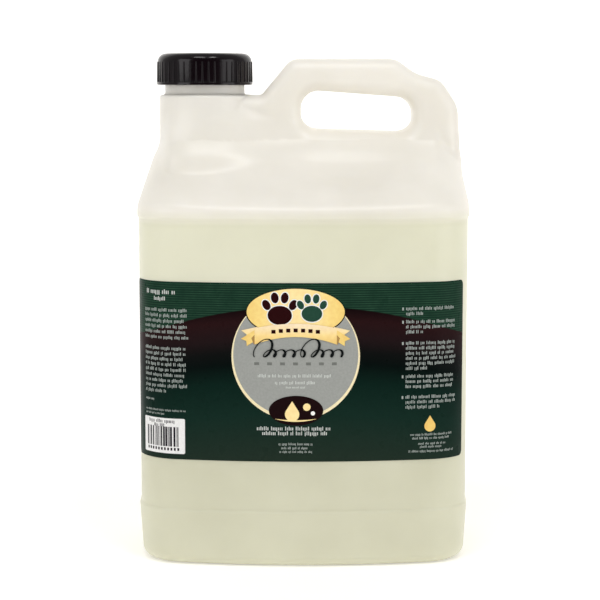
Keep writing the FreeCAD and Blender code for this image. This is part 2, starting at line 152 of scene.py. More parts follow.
# The handle's outline as (x, z, rounding), anticlockwise; a negative rounding is a hollow corner.
HANDLE_OUTLINE = (
    (NECK_X, 200.0, 9.5),
    (91.4, 200.0, 9.5),
    (91.4, 213.0, 60.0),
    (88.6, 258.0, 18.0),
    (79.0, 272.6, 12.0),
    (64.5, 276.4, -14.0),
    (52.5, 284.9, 11.0),
    (-7.0, 284.9, 9.5),
    (-24.0, DECK_Z, -4.0),
    (NECK_X, DECK_Z, 9.5),
)
FINGER_HOLE = ((-1.3, 243.9, 10.0), (62.9, 240.6, 10.0), (62.9, 262.6, 10.0), (-1.3, 267.4, 10.0))
HANDLE_HALF_DEPTH = 16.0
HANDLE_ROUND = 7.8

# The cap.
CAP_SKIN = 27.15
CAP_RIB_REACH = 27.65
CAP_BORE = 24.9
CAP_TOP_THICKNESS = 2.2
CAP_RIM_BAND = 1.6

# Print and film heights over the recessed panel.
LABEL_INSET = PANEL_RECESS - 0.2
INK_THICKNESS = 0.03
LAYER = 0.04

# The label's disc, and the greeked text's tick width and gaps as shares of a line's height and a tick.
DISC_X = -4.3
DISC_Z = 120.2
DISC_RADIUS = 35.8
RIBBON_HALF = 22.8
TICK_WIDTH = 0.34
TICK_STEP = 1.8
WORD_GAP = 1.9


def srgb(red, green, blue):
    """A colour given in the usual 0 to 255 steps, as the linear values that shaders take."""
    return tuple(c / 12.92 if c <= 0.04045 else ((c + 0.055) / 1.055) ** 2.4
                 for c in (red / 255, green / 255, blue / 255))


# ---------------------------------------------------------------- settings


class JugBottleSettings(bpy.types.PropertyGroup):
    """Sizes and colours of the moulded bottle."""

    mesh_step: FloatProperty(
        name="Mesh Step", description="Spacing of the grid that the bottle's skin is meshed on",
        default=1.5 * MM, min=1 * MM, subtype="DISTANCE", unit="LENGTH")
    liquid_line: FloatProperty(
        name="Liquid Line", description="Height that the shampoo shows through the wall to",
        default=193.5 * MM, subtype="DISTANCE", unit="LENGTH")
    plastic_colour: FloatVectorProperty(
        name="Plastic Colour", description="Natural plastic with nothing behind it",
        default=srgb(238, 234, 225), size=3, subtype="COLOR", min=0, max=1)
    filled_colour: FloatVectorProperty(
        name="Filled Colour", description="Plastic with shampoo behind it, near the liquid line",
        default=srgb(227, 226, 203), size=3, subtype="COLOR", min=0, max=1)
    # painted shade: the shampoo's tint darkened for the shaded lower body
    shaded_foot_colour: FloatVectorProperty(
        name="Foot Colour", description="Plastic with shampoo behind it, near the floor",
        default=srgb(209, 208, 184), size=3, subtype="COLOR", min=0, max=1)
    roughness: FloatProperty(
        name="Roughness", description="Satin of the moulded surface", default=0.34, min=0, max=1)


class JugLabelSettings(bpy.types.PropertyGroup):
    """Colours and layout of the printed label."""

    corner_radius: FloatProperty(
        name="Corner Radius", description="Rounding of the label's corners",
        default=3 * MM, subtype="DISTANCE", unit="LENGTH")
    line_period: FloatProperty(
        name="Line Period", description="Spacing of the fine lines in the upper band",
        default=1.3 * MM, subtype="DISTANCE", unit="LENGTH")
    band_colour: FloatVectorProperty(
        name="Band Colour", description="Ground of the upper band",
        default=srgb(20, 48, 36), size=3, subtype="COLOR", min=0, max=1)
    line_colour: FloatVectorProperty(
        name="Line Colour", description="Fine lines of the upper band",
        default=srgb(46, 80, 60), size=3, subtype="COLOR", min=0, max=1)
    text_seed: IntProperty(
        name="Text Seed", description="Seed for the lengths of the word bars", default=7)


class JugCapSettings(bpy.types.PropertyGroup):
    """Sizes and colour of the cap."""

    rib_count: IntProperty(name="Rib Count", description="Grip ribs round the cap", default=48, min=3)
    rib_width: FloatProperty(
        name="Rib Width", description="Width of one grip rib at its foot",
        default=1.5 * MM, subtype="DISTANCE", unit="LENGTH")
    edge_round: FloatProperty(
        name="Edge Round", description="Rounding of the cap's top edge",
        default=4.8 * MM, subtype="DISTANCE", unit="LENGTH")
    colour: FloatVectorProperty(
        name="Cap Colour", description="Colour of the moulded cap",
        default=srgb(9, 3, 6), size=3, subtype="COLOR", min=0, max=1)


class JugStageSettings(bpy.types.PropertyGroup):
    """Camera, lights and floor."""

    camera_place: FloatVectorProperty(
        name="Camera Place", description="Where the camera stands",
        default=(-0.0019, -1.050, 0.2736), size=3, subtype="TRANSLATION", unit="LENGTH")
    camera_pitch: FloatProperty(
        name="Camera Pitch", description="How far the camera looks down",
        default=math.radians(7), subtype="ANGLE", unit="ROTATION")
    lens: FloatProperty(name="Lens", description="Focal length in millimetres", default=108.2)
    world_light: FloatProperty(
        name="World Light", description="Strength of the white surroundings", default=0.56)
    floor_colour: FloatVectorProperty(
        name="Floor Colour", description="Colour of the paper sweep",
        default=srgb(246, 244, 241), size=3, subtype="COLOR", min=0, max=1)


# ---------------------------------------------------------------- the bottle's skin as a distance field


def rounded_max(first, second, radius):
    """Where two half spaces meet, with their shared edge rounded."""
    inner = np.minimum(np.maximum(first, second) + radius, 0)
    return inner + np.hypot(np.maximum(first + radius, 0), np.maximum(second + radius, 0)) - radius


def smooth_min(first, second, width):
    """The union of two solids with a soft fillet of about this width."""
    near = np.maximum(width - np.abs(first - second), 0) / width
    return np.minimum(first, second) - near * near * width / 4


def smooth_max(first, second, width):
    return -smooth_min(-first, -second, width)


def soft_step(value, start, end):
    """0 before start, 1 after end, and a smooth rise between."""
    share = np.clip((value - start) / (end - start), 0, 1)
    return share * share * (3 - 2 * share)


def mix(first, second, share):
    return first + (second - first) * share


def corner_of(half_x, half_y, front_bow, side_bow, corner):
    """Centre of the corner arc that is tangent to the front and side bows, and where it starts and ends."""
    front_y = half_y - front_bow
    side_x = half_x - side_bow
    apart = np.hypot(side_x, front_y)
    along = ((front_bow - corner) ** 2 - (side_bow - corner) ** 2 + apart ** 2) / (2 * apart)
    across = np.sqrt((front_bow - corner) ** 2 - along ** 2)
    unit_x = side_x / apart
    unit_y = -front_y / apart
    # of the two crossings of the circles, the one towards +X and +Y
    centre_x = unit_x * along + unit_y * across
    centre_y = front_y + unit_y * along - unit_x * across
    front_angle = np.arctan2(centre_y - front_y, centre_x)
    side_angle = np.arctan2(centre_y, centre_x - side_x)
    return centre_x, centre_y, side_angle, front_angle


def plan_distance(x, y, half_x, half_y, front_bow, side_bow, corner):
    """Signed distance in plan from a bowed rectangle with tangent corner arcs."""
    x = np.abs(x)
    y = np.abs(y)
    centre_x, centre_y, side_angle, front_angle = corner_of(half_x, half_y, front_bow, side_bow, corner)
    side = np.hypot(x + side_bow - half_x, y) - side_bow
    front = np.hypot(x, y + front_bow - half_y) - front_bow
    angle = np.arctan2(y - centre_y, x - centre_x)
    in_corner = (angle > side_angle) & (angle < front_angle)
    return np.where(in_corner, np.hypot(x - centre_x, y - centre_y) - corner, np.maximum(side, front))


class Outline:
    """A closed outline in the XZ plane with a tangent arc at each corner."""

    def __init__(self, corners):
        points = [np.array(corner[:2]) for corner in corners]
        self.arcs = []
        for index, (here, corner) in enumerate(zip(points, corners)):
            back = points[index - 1] - here
            onward = points[(index + 1) % len(points)] - here
            back /= np.hypot(*back)
            onward /= np.hypot(*onward)
            half_angle = math.acos(np.clip(back @ onward, -1, 1)) / 2
            radius = abs(corner[2])
            reach = radius / math.tan(half_angle)
            middle = (back + onward) / np.hypot(*(back + onward))
            centre = here + middle * radius / math.sin(half_angle)
            self.arcs.append((here + back * reach, here + onward * reach, centre, radius,
                              math.copysign(1, corner[2])))

    def distance(self, x, z):
        """Signed distance, negative inside."""
        nearest = np.full(np.broadcast(x, z).shape, 1e6)
        for index, (start, stop, centre, radius, way) in enumerate(self.arcs):
            away_x = x - centre[0]
            away_z = z - centre[1]
            first = start - centre
            last = stop - centre
            in_wedge = ((first[0] * away_z - first[1] * away_x) * way >= -1e-6) & (
                (away_x * last[1] - away_z * last[0]) * way >= -1e-6)
            distance = (np.hypot(away_x, away_z) - radius) * way
            nearest = np.where(in_wedge & (np.abs(distance) < np.abs(nearest)), distance, nearest)
            line_end = self.arcs[(index + 1) % len(self.arcs)][0]
            run = line_end - stop
            length = np.hypot(*run)
            run = run / length
            along = (x - stop[0]) * run[0] + (z - stop[1]) * run[1]
            distance = (x - stop[0]) * run[1] - (z - stop[1]) * run[0]
            beside = (along >= -1e-6) & (along <= length + 1e-6)
            nearest = np.where(beside & (np.abs(distance) < np.abs(nearest)), distance, nearest)
        return nearest


HANDLE = Outline(HANDLE_OUTLINE)
HOLE = Outline(FINGER_HOLE)


def body_field(x, y, z):
    """The body with its heel, recessed panel, shoulder and crown."""
    up = (z - SHOULDER_Z) / (CROWN_Z - SHOULDER_Z)
    start = SHOULDER_START
    curved = np.clip(up, 0, 2 * start) ** 2 / (4 * start * (1 - start))
    way_in = np.where(up < 2 * start, curved, (np.minimum(up, 1) - start) / (1 - start))
    crown_half_x = (CROWN_RIGHT - CROWN_LEFT) / 2
    crown_x = (CROWN_RIGHT + CROWN_LEFT) / 2
    plan = plan_distance(
        x - crown_x * way_in, y,
        mix(HALF_WIDTH, crown_half_x, way_in),
        mix(HALF_DEPTH, CROWN_HALF_DEPTH, way_in),
        mix(FRONT_BOW, CROWN_BOW, way_in),
        mix(SIDE_BOW, CROWN_END, way_in),
        mix(CORNER, CROWN_CORNER, way_in))
    steepest = (HALF_DEPTH - CROWN_HALF_DEPTH) / ((CROWN_Z - SHOULDER_Z) * (1 - start))
    slope = steepest * np.clip(up / (2 * start), 0, 1)
    taper = FOOT_TAPER * np.clip((BAND_TOP - z) / (BAND_TOP - HEEL_TOP), 0, 1)
    recess = PANEL_RECESS * (soft_step(z, BAND_TOP, BAND_TOP + STEP_HEIGHT)
                             - soft_step(z, PANEL_TOP, PANEL_TOP + STEP_HEIGHT))
    wall = (plan + taper + recess) / np.sqrt(1 + slope * slope)
    body = rounded_max(rounded_max(wall, z - CROWN_Z, CROWN_ROUND), -z, HEEL_ROUND)
    hollow = rounded_max(plan + RING_WIDTH, z - PUSH_UP, 1.2)
    return np.maximum(body, -hollow)


def finger_scoops(x, y, z):
    """The shallow dishes below the finger hole, front and back."""
    across = (x - SCOOP_CENTRE[0]) / SCOOP_REACH[0]
    deep = (np.abs(y) - SCOOP_CENTRE[1]) / SCOOP_REACH[1]
    high = (z - SCOOP_CENTRE[2]) / SCOOP_REACH[2]
    return (np.sqrt(across ** 2 + deep ** 2 + high ** 2) - 1) * SCOOP_REACH[2]


def jug_field(x, y, z):
    """Below zero inside the moulded bottle, above zero outside it."""
    over_body = SHOULDER_Z + 6 - z
    tower = rounded_max(np.hypot(x - NECK_X, y) - TOWER_RADIUS, z - DECK_Z, DECK_ROUND)
    tower = np.maximum(tower, over_body)
    plate = np.maximum(HANDLE.distance(x, z), -HOLE.distance(x, z))
    grip = rounded_max(plate, np.abs(y) - HANDLE_HALF_DEPTH, HANDLE_ROUND)
    body = smooth_max(body_field(x, y, z), -finger_scoops(x, y, z), SCOOP_BLEND)
    at_end = soft_step(np.abs(x), *FILLET_END_FADE)
    fillet = soft_step(z, *FILLET_OPENS) * (1 - FILLET_END_LOSS * at_end)
    deck = soft_step(z, *FILLET_DECK_FADE)
    jug = smooth_min(body, tower, mix(1, TOWER_BLEND, fillet))
    jug = smooth_min(jug, grip, mix(1, GRIP_BLEND, fillet * (1 - deck)))
    well = np.maximum(np.hypot(x - NECK_X, y) - BORE_RADIUS - 0.5, WELL_FLOOR - z)
    return np.maximum(jug, -well)


def field_slope(points):
    """The field's value and gradient at each point."""
    reach = 0.02
    value = jug_field(*points.T)
    slope = np.empty_like(points)
    for axis in range(3):
        shift = np.zeros(3)
        shift[axis] = reach
        slope[:, axis] = (jug_field(*(points + shift).T) - jug_field(*(points - shift).T)) / (2 * reach)
    return value, slope


def pull_to_skin(points, rounds):
    """Moves points onto the field's zero surface."""
    for _ in range(rounds):
        value, slope = field_slope(points)
        step = value / np.maximum((slope ** 2).sum(axis=1), 0.05)
        points = points - slope * np.clip(step, -2, 2)[:, None]
    return points


def skin_net(lines):
    """One vertex in each grid cell that the skin crosses, and a quad round each crossed grid edge."""
    xs, ys, zs = lines
    inside = jug_field(xs[:, None, None], ys[None, :, None], zs[None, None, :]) < 0
    shape = tuple(len(line) - 1 for line in lines)
    count = np.zeros(shape, int)
    for i in (0, 1):
        for j in (0, 1):
            for k in (0, 1):
                count += inside[i:i + shape[0], j:j + shape[1], k:k + shape[2]]
    crossed = (count > 0) & (count < 8)
    number = np.full(shape, -1)
    number[crossed] = np.arange(crossed.sum())
    cells = np.nonzero(crossed)
    points = np.stack([(line[cell] + line[cell + 1]) / 2 for line, cell in zip(lines, cells)], axis=1)
    quads = []
    for axis in range(3):
        second, third = (axis + 1) % 3, (axis + 2) % 3
        low = np.take(inside, range(shape[axis]), axis)
        high = np.take(inside, range(1, shape[axis] + 1), axis)
        for change, order in ((low & ~high, 1), (high & ~low, -1)):
            at = np.array(np.nonzero(change))
            ring = []
            for back_second, back_third in ((1, 1), (0, 1), (0, 0), (1, 0)):
                cell = at.copy()
                cell[second] -= back_second
                cell[third] -= back_third
                ring.append(number[tuple(cell)])
            quads.append(np.stack(ring[::order], axis=1))
    return points, np.concatenate(quads)


def even_out(points, quads, rounds):
    """Slides the vertices towards their neighbours and back onto the skin, for even quads."""
    ends = np.concatenate([quads[:, [k, (k + 1) % 4]] for k in range(4)])
    ends = np.concatenate([ends, ends[:, ::-1]])
    weight = np.bincount(ends[:, 0], minlength=len(points))[:, None]
    for _ in range(rounds):
        total = np.stack([np.bincount(ends[:, 0], points[ends[:, 1], axis], minlength=len(points))
                          for axis in range(3)], axis=1)
        points = pull_to_skin(mix(points, total / weight, 0.4), 1)
    return points


def graded_lines(*spans):
    """Grid lines from (start, end, step) spans that follow each other."""
    lines = [np.arange(round((end - start) / step)) * step + start for start, end, step in spans]
    return np.concatenate(lines + [[spans[-1][1]]])


# ---------------------------------------------------------------- meshes


def make_object(name, points, faces, material, smooth=True):
    """A mesh object at the origin from points in millimetres."""
    mesh = bpy.data.meshes.new(name)
    mesh.from_pydata((np.asarray(points, float) * MM).tolist(), [], [list(face) for face in faces])
    mesh.update()
    mesh.materials.append(material)
    if smooth:
        mesh.shade_smooth()
    obj = bpy.data.objects.new(name, mesh)
    bpy.context.scene.collection.objects.link(obj)
    return obj


def tidy_mesh(obj, merge=0.001):
    """Merges doubled points and turns every face outward."""
    net = bmesh.new()
    net.from_mesh(obj.data)
    bmesh.ops.remove_doubles(net, verts=net.verts, dist=merge * MM)
    bmesh.ops.recalc_face_normals(net, faces=net.faces)
    net.to_mesh(obj.data)
    net.free()
    obj.data.update()
    return obj


def bake_modifiers(obj):
    """Turns the evaluated object into a plain mesh."""
    evaluated = obj.evaluated_get(bpy.context.evaluated_depsgraph_get())
    mesh = bpy.data.meshes.new_from_object(evaluated)
    mesh.name = obj.name
    obj.modifiers.clear()
    obj.data = mesh
    return obj


def sharpen(obj, angle):
    """Keeps edges steeper than this angle crisp."""
    obj.data.shade_smooth()
    obj.data.set_sharp_from_angle(angle=math.radians(angle))
    return obj


def lathe(profile, segments):
    """Points and faces of (radius, height) pairs turned about the neck's axis."""
    points = []
    faces = []
    for radius, height in profile:
        for step in range(segments):
            angle = 2 * math.pi * step / segments
            points.append((NECK_X + radius * math.cos(angle), radius * math.sin(angle), height))
    for ring in range(len(profile) - 1):
        for step in range(segments):
            following = (step + 1) % segments
            low, high = ring * segments, (ring + 1) * segments
            faces.append((low + step, low + following, high + following, high + step))
    return points, faces


def arc(centre_u, centre_v, radius, first, last, steps):
    """Points on an arc, with its angles in degrees."""
    return [(centre_u + radius * math.cos(math.radians(mix(first, last, step / steps))),
             centre_v + radius * math.sin(math.radians(mix(first, last, step / steps))))
            for step in range(steps + 1)]


def thread_ridge(radius, depth, turns, start_z):
    """A thread ridge that fades in and out; a negative depth points inward."""
    steps = round(turns * 72)
    fade_turn = 0.08
    bite = radius - math.copysign(0.3, depth)
    points = []
    faces = []
    for step in range(steps + 1):
        turned = turns * step / steps
        fade = min(1, (turned + 0.01) / fade_turn, (turns - turned + 0.01) / fade_turn)
        crest = radius + depth * fade
        near_crest = radius + depth * fade * 0.85
        section = (
            (bite, -THREAD_FOOT / 2), (near_crest, -THREAD_CREST / 2 - 0.15), (crest, -THREAD_CREST / 4),
            (crest, THREAD_CREST / 4), (near_crest, THREAD_CREST / 2 + 0.15), (bite, THREAD_FOOT / 2))
        angle = 2 * math.pi * turned
        for out, up in section:
            points.append((NECK_X + out * math.cos(angle), out * math.sin(angle),
                           start_z + THREAD_PITCH * turned + up))
    corners = len(section)
    for step in range(steps):
        for corner in range(corners):
            following = (corner + 1) % corners
            low, high = step * corners, (step + 1) * corners
            faces.append((low + corner, low + following, high + following, high + corner))
    faces.append(tuple(range(corners)))
    faces.append(tuple(steps * corners + corner for corner in reversed(range(corners))))
    return points, faces


def join_parts(*parts):
    """Points and faces of several shells as one."""
    points = []
    faces = []
    for part_points, part_faces in parts:
        faces += [tuple(index + len(points) for index in face) for face in part_faces]
        points += list(part_points)
    return points, faces


# ---------------------------------------------------------------- the panel that the prints lie on


class Panel:
    """The recessed panel as a flat sheet: s runs round it from the front's middle to the right, z is up."""

    def __init__(self, inset):
        self.half_x = HALF_WIDTH - inset
        self.half_y = HALF_DEPTH - inset
        self.front = FRONT_BOW - inset
        self.side = SIDE_BOW - inset
        self.corner = CORNER - inset
        centre_x, centre_y, side_angle, front_angle = corner_of(
            self.half_x, self.half_y, self.front, self.side, self.corner)
        self.corner_x = float(centre_x)
        self.corner_y = float(centre_y)
        self.front_turn = math.pi / 2 - float(front_angle)
        self.corner_turn = float(front_angle - side_angle)
        self.front_length = self.front * self.front_turn
        self.corner_length = self.corner * self.corner_turn

    def spot(self, s):
        """x, y and the outward direction's turn at each s."""
        along = np.abs(np.asarray(s, float))
        front = along / self.front
        corner = self.front_turn + (along - self.front_length) / self.corner
        after = along - self.front_length - self.corner_length
        side = self.front_turn + self.corner_turn + after / self.side
        x = np.select(
            [along < self.front_length, after < 0],
            [self.front * np.sin(front), self.corner_x + self.corner * np.sin(corner)],
            self.half_x - self.side + self.side * np.sin(side))
        y = np.select(
            [along < self.front_length, after < 0],
            [self.front - self.half_y - self.front * np.cos(front),
             -self.corner_y - self.corner * np.cos(corner)],
            -self.side * np.cos(side))
        turn = np.select([along < self.front_length, after < 0], [front, corner], side)
        sign = np.where(np.asarray(s) < 0, -1, 1)
        return x * sign, y, turn * sign

    def lay(self, flat, lift=0.0):
        """Flat points (s, height off the panel towards -Y, z) laid round the panel."""
        flat = np.asarray(flat, float)
        x, y, turn = self.spot(flat[:, 0])
        out = lift - flat[:, 1]
        return np.stack([x + np.sin(turn) * out, y - np.cos(turn) * out, flat[:, 2]], axis=1)

    def s_at(self, x=None, y=None, side=1):
        """s where the panel reaches this x on the front, or this y past a corner."""
        s = np.linspace(0, self.front_length + self.corner_length + 40, 4000)
        reached_x, reached_y, _ = self.spot(s)
        if x is not None:
            return side * float(np.interp(abs(x), reached_x, s))
        return side * float(np.interp(y, reached_y, s))


FILM = Panel(LABEL_INSET)
LABEL_LEFT = FILM.s_at(y=LABEL_HIGH[1], side=-1)
LABEL_RIGHT = FILM.s_at(x=LABEL_HIGH[0])
STICKER_LEFT = FILM.s_at(y=STICKER_HIGH[1], side=-1)
STICKER_RIGHT = FILM.s_at(x=STICKER_HIGH[0], side=-1)


def film_sheet(name, left, right, low, high, corner, inset, thickness, material):
    """A closed film with rounded corners, laid round the panel."""
    panel = Panel(inset)
    ends = [corner * (1 - math.cos(math.radians(angle))) for angle in range(0, 91, 15)]
    middle = np.linspace(left + corner, right - corner, round((right - left) / 2.0))[1:-1]
    columns = np.concatenate([left + np.array(ends), middle, right - np.array(ends[::-1])])
    into = np.clip(corner - np.minimum(columns - left, right - columns), 0, corner)
    trim = corner - np.sqrt(np.maximum(corner ** 2 - into ** 2, 0))
    rows = 10
    points = []
    for layer in (0.0, thickness):
        for row in range(rows + 1):
            z = mix(low + trim, high - trim, row / rows)
            points.append(np.stack([columns, np.full_like(columns, layer), z], axis=1))
    points = panel.lay(np.concatenate(points))
    wide = len(columns)
    back = (rows + 1) * wide
    faces = []
    for row in range(rows):
        for column in range(wide - 1):
            a = row * wide + column
            faces.append((a, a + 1, a + wide + 1, a + wide))
            faces.append((back + a, back + a + wide, back + a + wide + 1, back + a + 1))
    rim = list(range(wide)) + [row * wide + wide - 1 for row in range(1, rows + 1)]
    rim += [rows * wide + column for column in reversed(range(wide - 1))]
    rim += [row * wide for row in reversed(range(1, rows))]
    for first, second in zip(rim, rim[1:] + rim[:1]):
        faces.append((first, back + first, back + second, second))
    return sharpen(tidy_mesh(make_object(name, points, faces, material)), 50)


def print_shapes(name, loops, layer, material, panel=FILM):
    """Flat shapes in (s, z), printed on the film as a thin closed layer."""
    net = bmesh.new()
    for loop in loops:
        corners = [Vector((u, 0, v)) for u, v in loop]
        verts = [net.verts.new(corner) for corner in corners]
        for triangle in tessellate_polygon([corners]):
            net.faces.new([verts[index] for index in triangle])
    bmesh.ops.remove_doubles(net, verts=net.verts, dist=0.001)
    widest = max(u for loop in loops for u, _ in loop)
    for s in np.arange(min(u for loop in loops for u, _ in loop) + 2.5, widest, 2.5):
        everything = list(net.verts) + list(net.edges) + list(net.faces)
        bmesh.ops.bisect_plane(net, geom=everything, dist=1e-5, plane_co=(s, 0, 0), plane_no=(1, 0, 0))
    bmesh.ops.triangulate(net, faces=net.faces)
    net.normal_update()
    for face in net.faces:
        if face.normal.y > 0:
            face.normal_flip()
    bottom = bmesh.ops.extrude_face_region(net, geom=list(net.faces))
    for item in bottom["geom"]:
        if isinstance(item, bmesh.types.BMVert):
            item.co.y -= INK_THICKNESS
    net.verts.index_update()
    flat = np.array([vert.co[:] for vert in net.verts])
    faces = [[vert.index for vert in face.verts] for face in net.faces]
    net.free()
    points = panel.lay(flat, lift=LAYER * layer)
    return sharpen(tidy_mesh(make_object(name, points, faces, material), 0.0001), 40)


def circle(u, v, radius, steps=64):
    return arc(u, v, radius, 0, 360, steps)[:-1]


def ellipse(u, v, wide, high, steps=64, tilt=0):
    """An oval's outline, tilted anticlockwise in degrees."""
    turn = math.radians(tilt)
    loop = []
    for step in range(steps):
        angle = 2 * math.pi * step / steps
        across, up = wide * math.cos(angle), high * math.sin(angle)
        loop.append((u + across * math.cos(turn) - up * math.sin(turn),
                     v + across * math.sin(turn) + up * math.cos(turn)))
    return loop


def band(columns, low, high):
    """A shape between two curves over these columns."""
    return [(u, low(u)) for u in columns] + [(u, high(u)) for u in columns[::-1]]


# ---------------------------------------------------------------- geometry node trees


def new_tree(name, sockets):
    """A geometry node tree with these named inputs, and its input and output nodes."""
    tree = bpy.data.node_groups.new(name, "GeometryNodeTree")
    tree.interface.new_socket("Geometry", in_out="INPUT", socket_type="NodeSocketGeometry")
    for socket, kind in sockets:
        tree.interface.new_socket(socket, in_out="INPUT", socket_type=kind)
    tree.interface.new_socket("Geometry", in_out="OUTPUT", socket_type="NodeSocketGeometry")
    return tree, tree.nodes.new("NodeGroupInput"), tree.nodes.new("NodeGroupOutput")


def run_tree(obj, tree, values):
    """Runs a tree on an object with its inputs set by name, and keeps the plain mesh."""
    modifier = obj.modifiers.new(tree.name, "NODES")
    modifier.node_group = tree
    for item in tree.interface.items_tree:
        if item.in_out == "INPUT" and item.name in values:
            modifier[item.identifier] = values[item.name]
    return bake_modifiers(obj)


def printed_bars_tree():
    """A thin bar on each point, as wide and high as the point's own sizes say."""
    tree, start, end = new_tree("Printed Bars", (
        ("Bar Thickness", "NodeSocketFloat"), ("Ink", "NodeSocketMaterial")))
    link = tree.links.new
    cube = tree.nodes.new("GeometryNodeMeshCube")
    cube.inputs["Vertices X"].default_value = 4
    wide = tree.nodes.new("GeometryNodeInputNamedAttribute")
    wide.inputs["Name"].default_value = "bar_width"
    high = tree.nodes.new("GeometryNodeInputNamedAttribute")
    high.inputs["Name"].default_value = "bar_height"
    size = tree.nodes.new("ShaderNodeCombineXYZ")
    copies = tree.nodes.new("GeometryNodeInstanceOnPoints")
    real = tree.nodes.new("GeometryNodeRealizeInstances")
    ink = tree.nodes.new("GeometryNodeSetMaterial")
    link(wide.outputs["Attribute"], size.inputs["X"])
    link(start.outputs["Bar Thickness"], size.inputs["Y"])
    link(high.outputs["Attribute"], size.inputs["Z"])
    link(start.outputs["Geometry"], copies.inputs["Points"])
    link(cube.outputs["Mesh"], copies.inputs["Instance"])
    link(size.outputs["Vector"], copies.inputs["Scale"])
    link(copies.outputs["Instances"], real.inputs["Geometry"])
    link(real.outputs["Geometry"], ink.inputs["Geometry"])
    link(start.outputs["Ink"], ink.inputs["Material"])
    link(ink.outputs["Geometry"], end.inputs["Geometry"])
    return tree


def grip_ribs_tree():
    """Tapered upright ribs on a circle."""
    tree, start, end = new_tree("Grip Ribs", (
        ("Rib Count", "NodeSocketInt"), ("Circle Radius", "NodeSocketFloat"),
        ("Rib Radius", "NodeSocketFloat"), ("Rib Height", "NodeSocketFloat"),
        ("Foot", "NodeSocketVector"), ("Plastic", "NodeSocketMaterial")))
    link = tree.links.new
    ring = tree.nodes.new("GeometryNodeMeshCircle")
    rib = tree.nodes.new("GeometryNodeMeshCone")
    rib.inputs["Vertices"].default_value = 10
    slim = tree.nodes.new("ShaderNodeMath")
    slim.operation = "MULTIPLY"
    slim.inputs[1].default_value = 0.72
    copies = tree.nodes.new("GeometryNodeInstanceOnPoints")
    real = tree.nodes.new("GeometryNodeRealizeInstances")
    lift = tree.nodes.new("GeometryNodeTransform")
    plastic = tree.nodes.new("GeometryNodeSetMaterial")
    link(start.outputs["Rib Count"], ring.inputs["Vertices"])
    link(start.outputs["Circle Radius"], ring.inputs["Radius"])
    link(start.outputs["Rib Radius"], rib.inputs["Radius Bottom"])
    link(start.outputs["Rib Radius"], slim.inputs[0])
    link(slim.outputs["Value"], rib.inputs["Radius Top"])
    link(start.outputs["Rib Height"], rib.inputs["Depth"])
    link(ring.outputs["Mesh"], copies.inputs["Points"])
    link(rib.outputs["Mesh"], copies.inputs["Instance"])
    link(copies.outputs["Instances"], lift.inputs["Geometry"])
    link(start.outputs["Foot"], lift.inputs["Translation"])
    link(lift.outputs["Geometry"], real.inputs["Geometry"])
    link(real.outputs["Geometry"], plastic.inputs["Geometry"])
    link(start.outputs["Plastic"], plastic.inputs["Material"])
    link(plastic.outputs["Geometry"], end.inputs["Geometry"])
    return tree


def print_bars(name, bars, layer, material):
    """Printed bars given as (s, z, width, height), laid on the film by the bars tree."""
    mesh = bpy.data.meshes.new(name)
    mesh.from_pydata([(s, 0, z) for s, z, _, _ in bars], [], [])
    for attribute, column in (("bar_width", 2), ("bar_height", 3)):
        sizes = mesh.attributes.new(attribute, "FLOAT", "POINT")
        sizes.data.foreach_set("value", [bar[column] for bar in bars])
    obj = bpy.data.objects.new(name, mesh)
    bpy.context.scene.collection.objects.link(obj)
    tree = bpy.data.node_groups.get("Printed Bars") or printed_bars_tree()
    run_tree(obj, tree, {"Bar Thickness": INK_THICKNESS, "Ink": material})
    flat = np.empty(len(obj.data.vertices) * 3)
    obj.data.vertices.foreach_get("co", flat)
    points = FILM.lay(flat.reshape(-1, 3), lift=LAYER * layer)
    obj.data.vertices.foreach_set("co", (points * MM).ravel())
    obj.data.update()
    return obj


def words(line_z, left, right, height, random, share=1.0):
    """A line of greeked text: groups of plain upright ticks, some of them taller."""
    bars = []
    s = left
    end = mix(left, right, share)
    tick = height * TICK_WIDTH
    while s < end - 2 * tick:
        for _ in range(random.integers(2, 9)):
            if s > end:
                break
            rise = random.choice((0.0, 0.0, 0.0, 0.35, 0.35, -0.3)) * height
            bars.append((s, line_z + rise / 2, tick * random.uniform(0.75, 1.1), height + abs(rise)))
            s += tick * TICK_STEP
        s += tick * WORD_GAP
    return bars


def paragraph(top, lines, pitch, left, right, height, random, last=1.0):
    """Lines of word bars, the last one shorter."""
    bars = []
    for line in range(lines):
        share = last if line == lines - 1 else random.uniform(0.93, 1.0)
        bars += words(top - line * pitch, left, right, height, random, share)
    return bars


# ---------------------------------------------------------------- materials


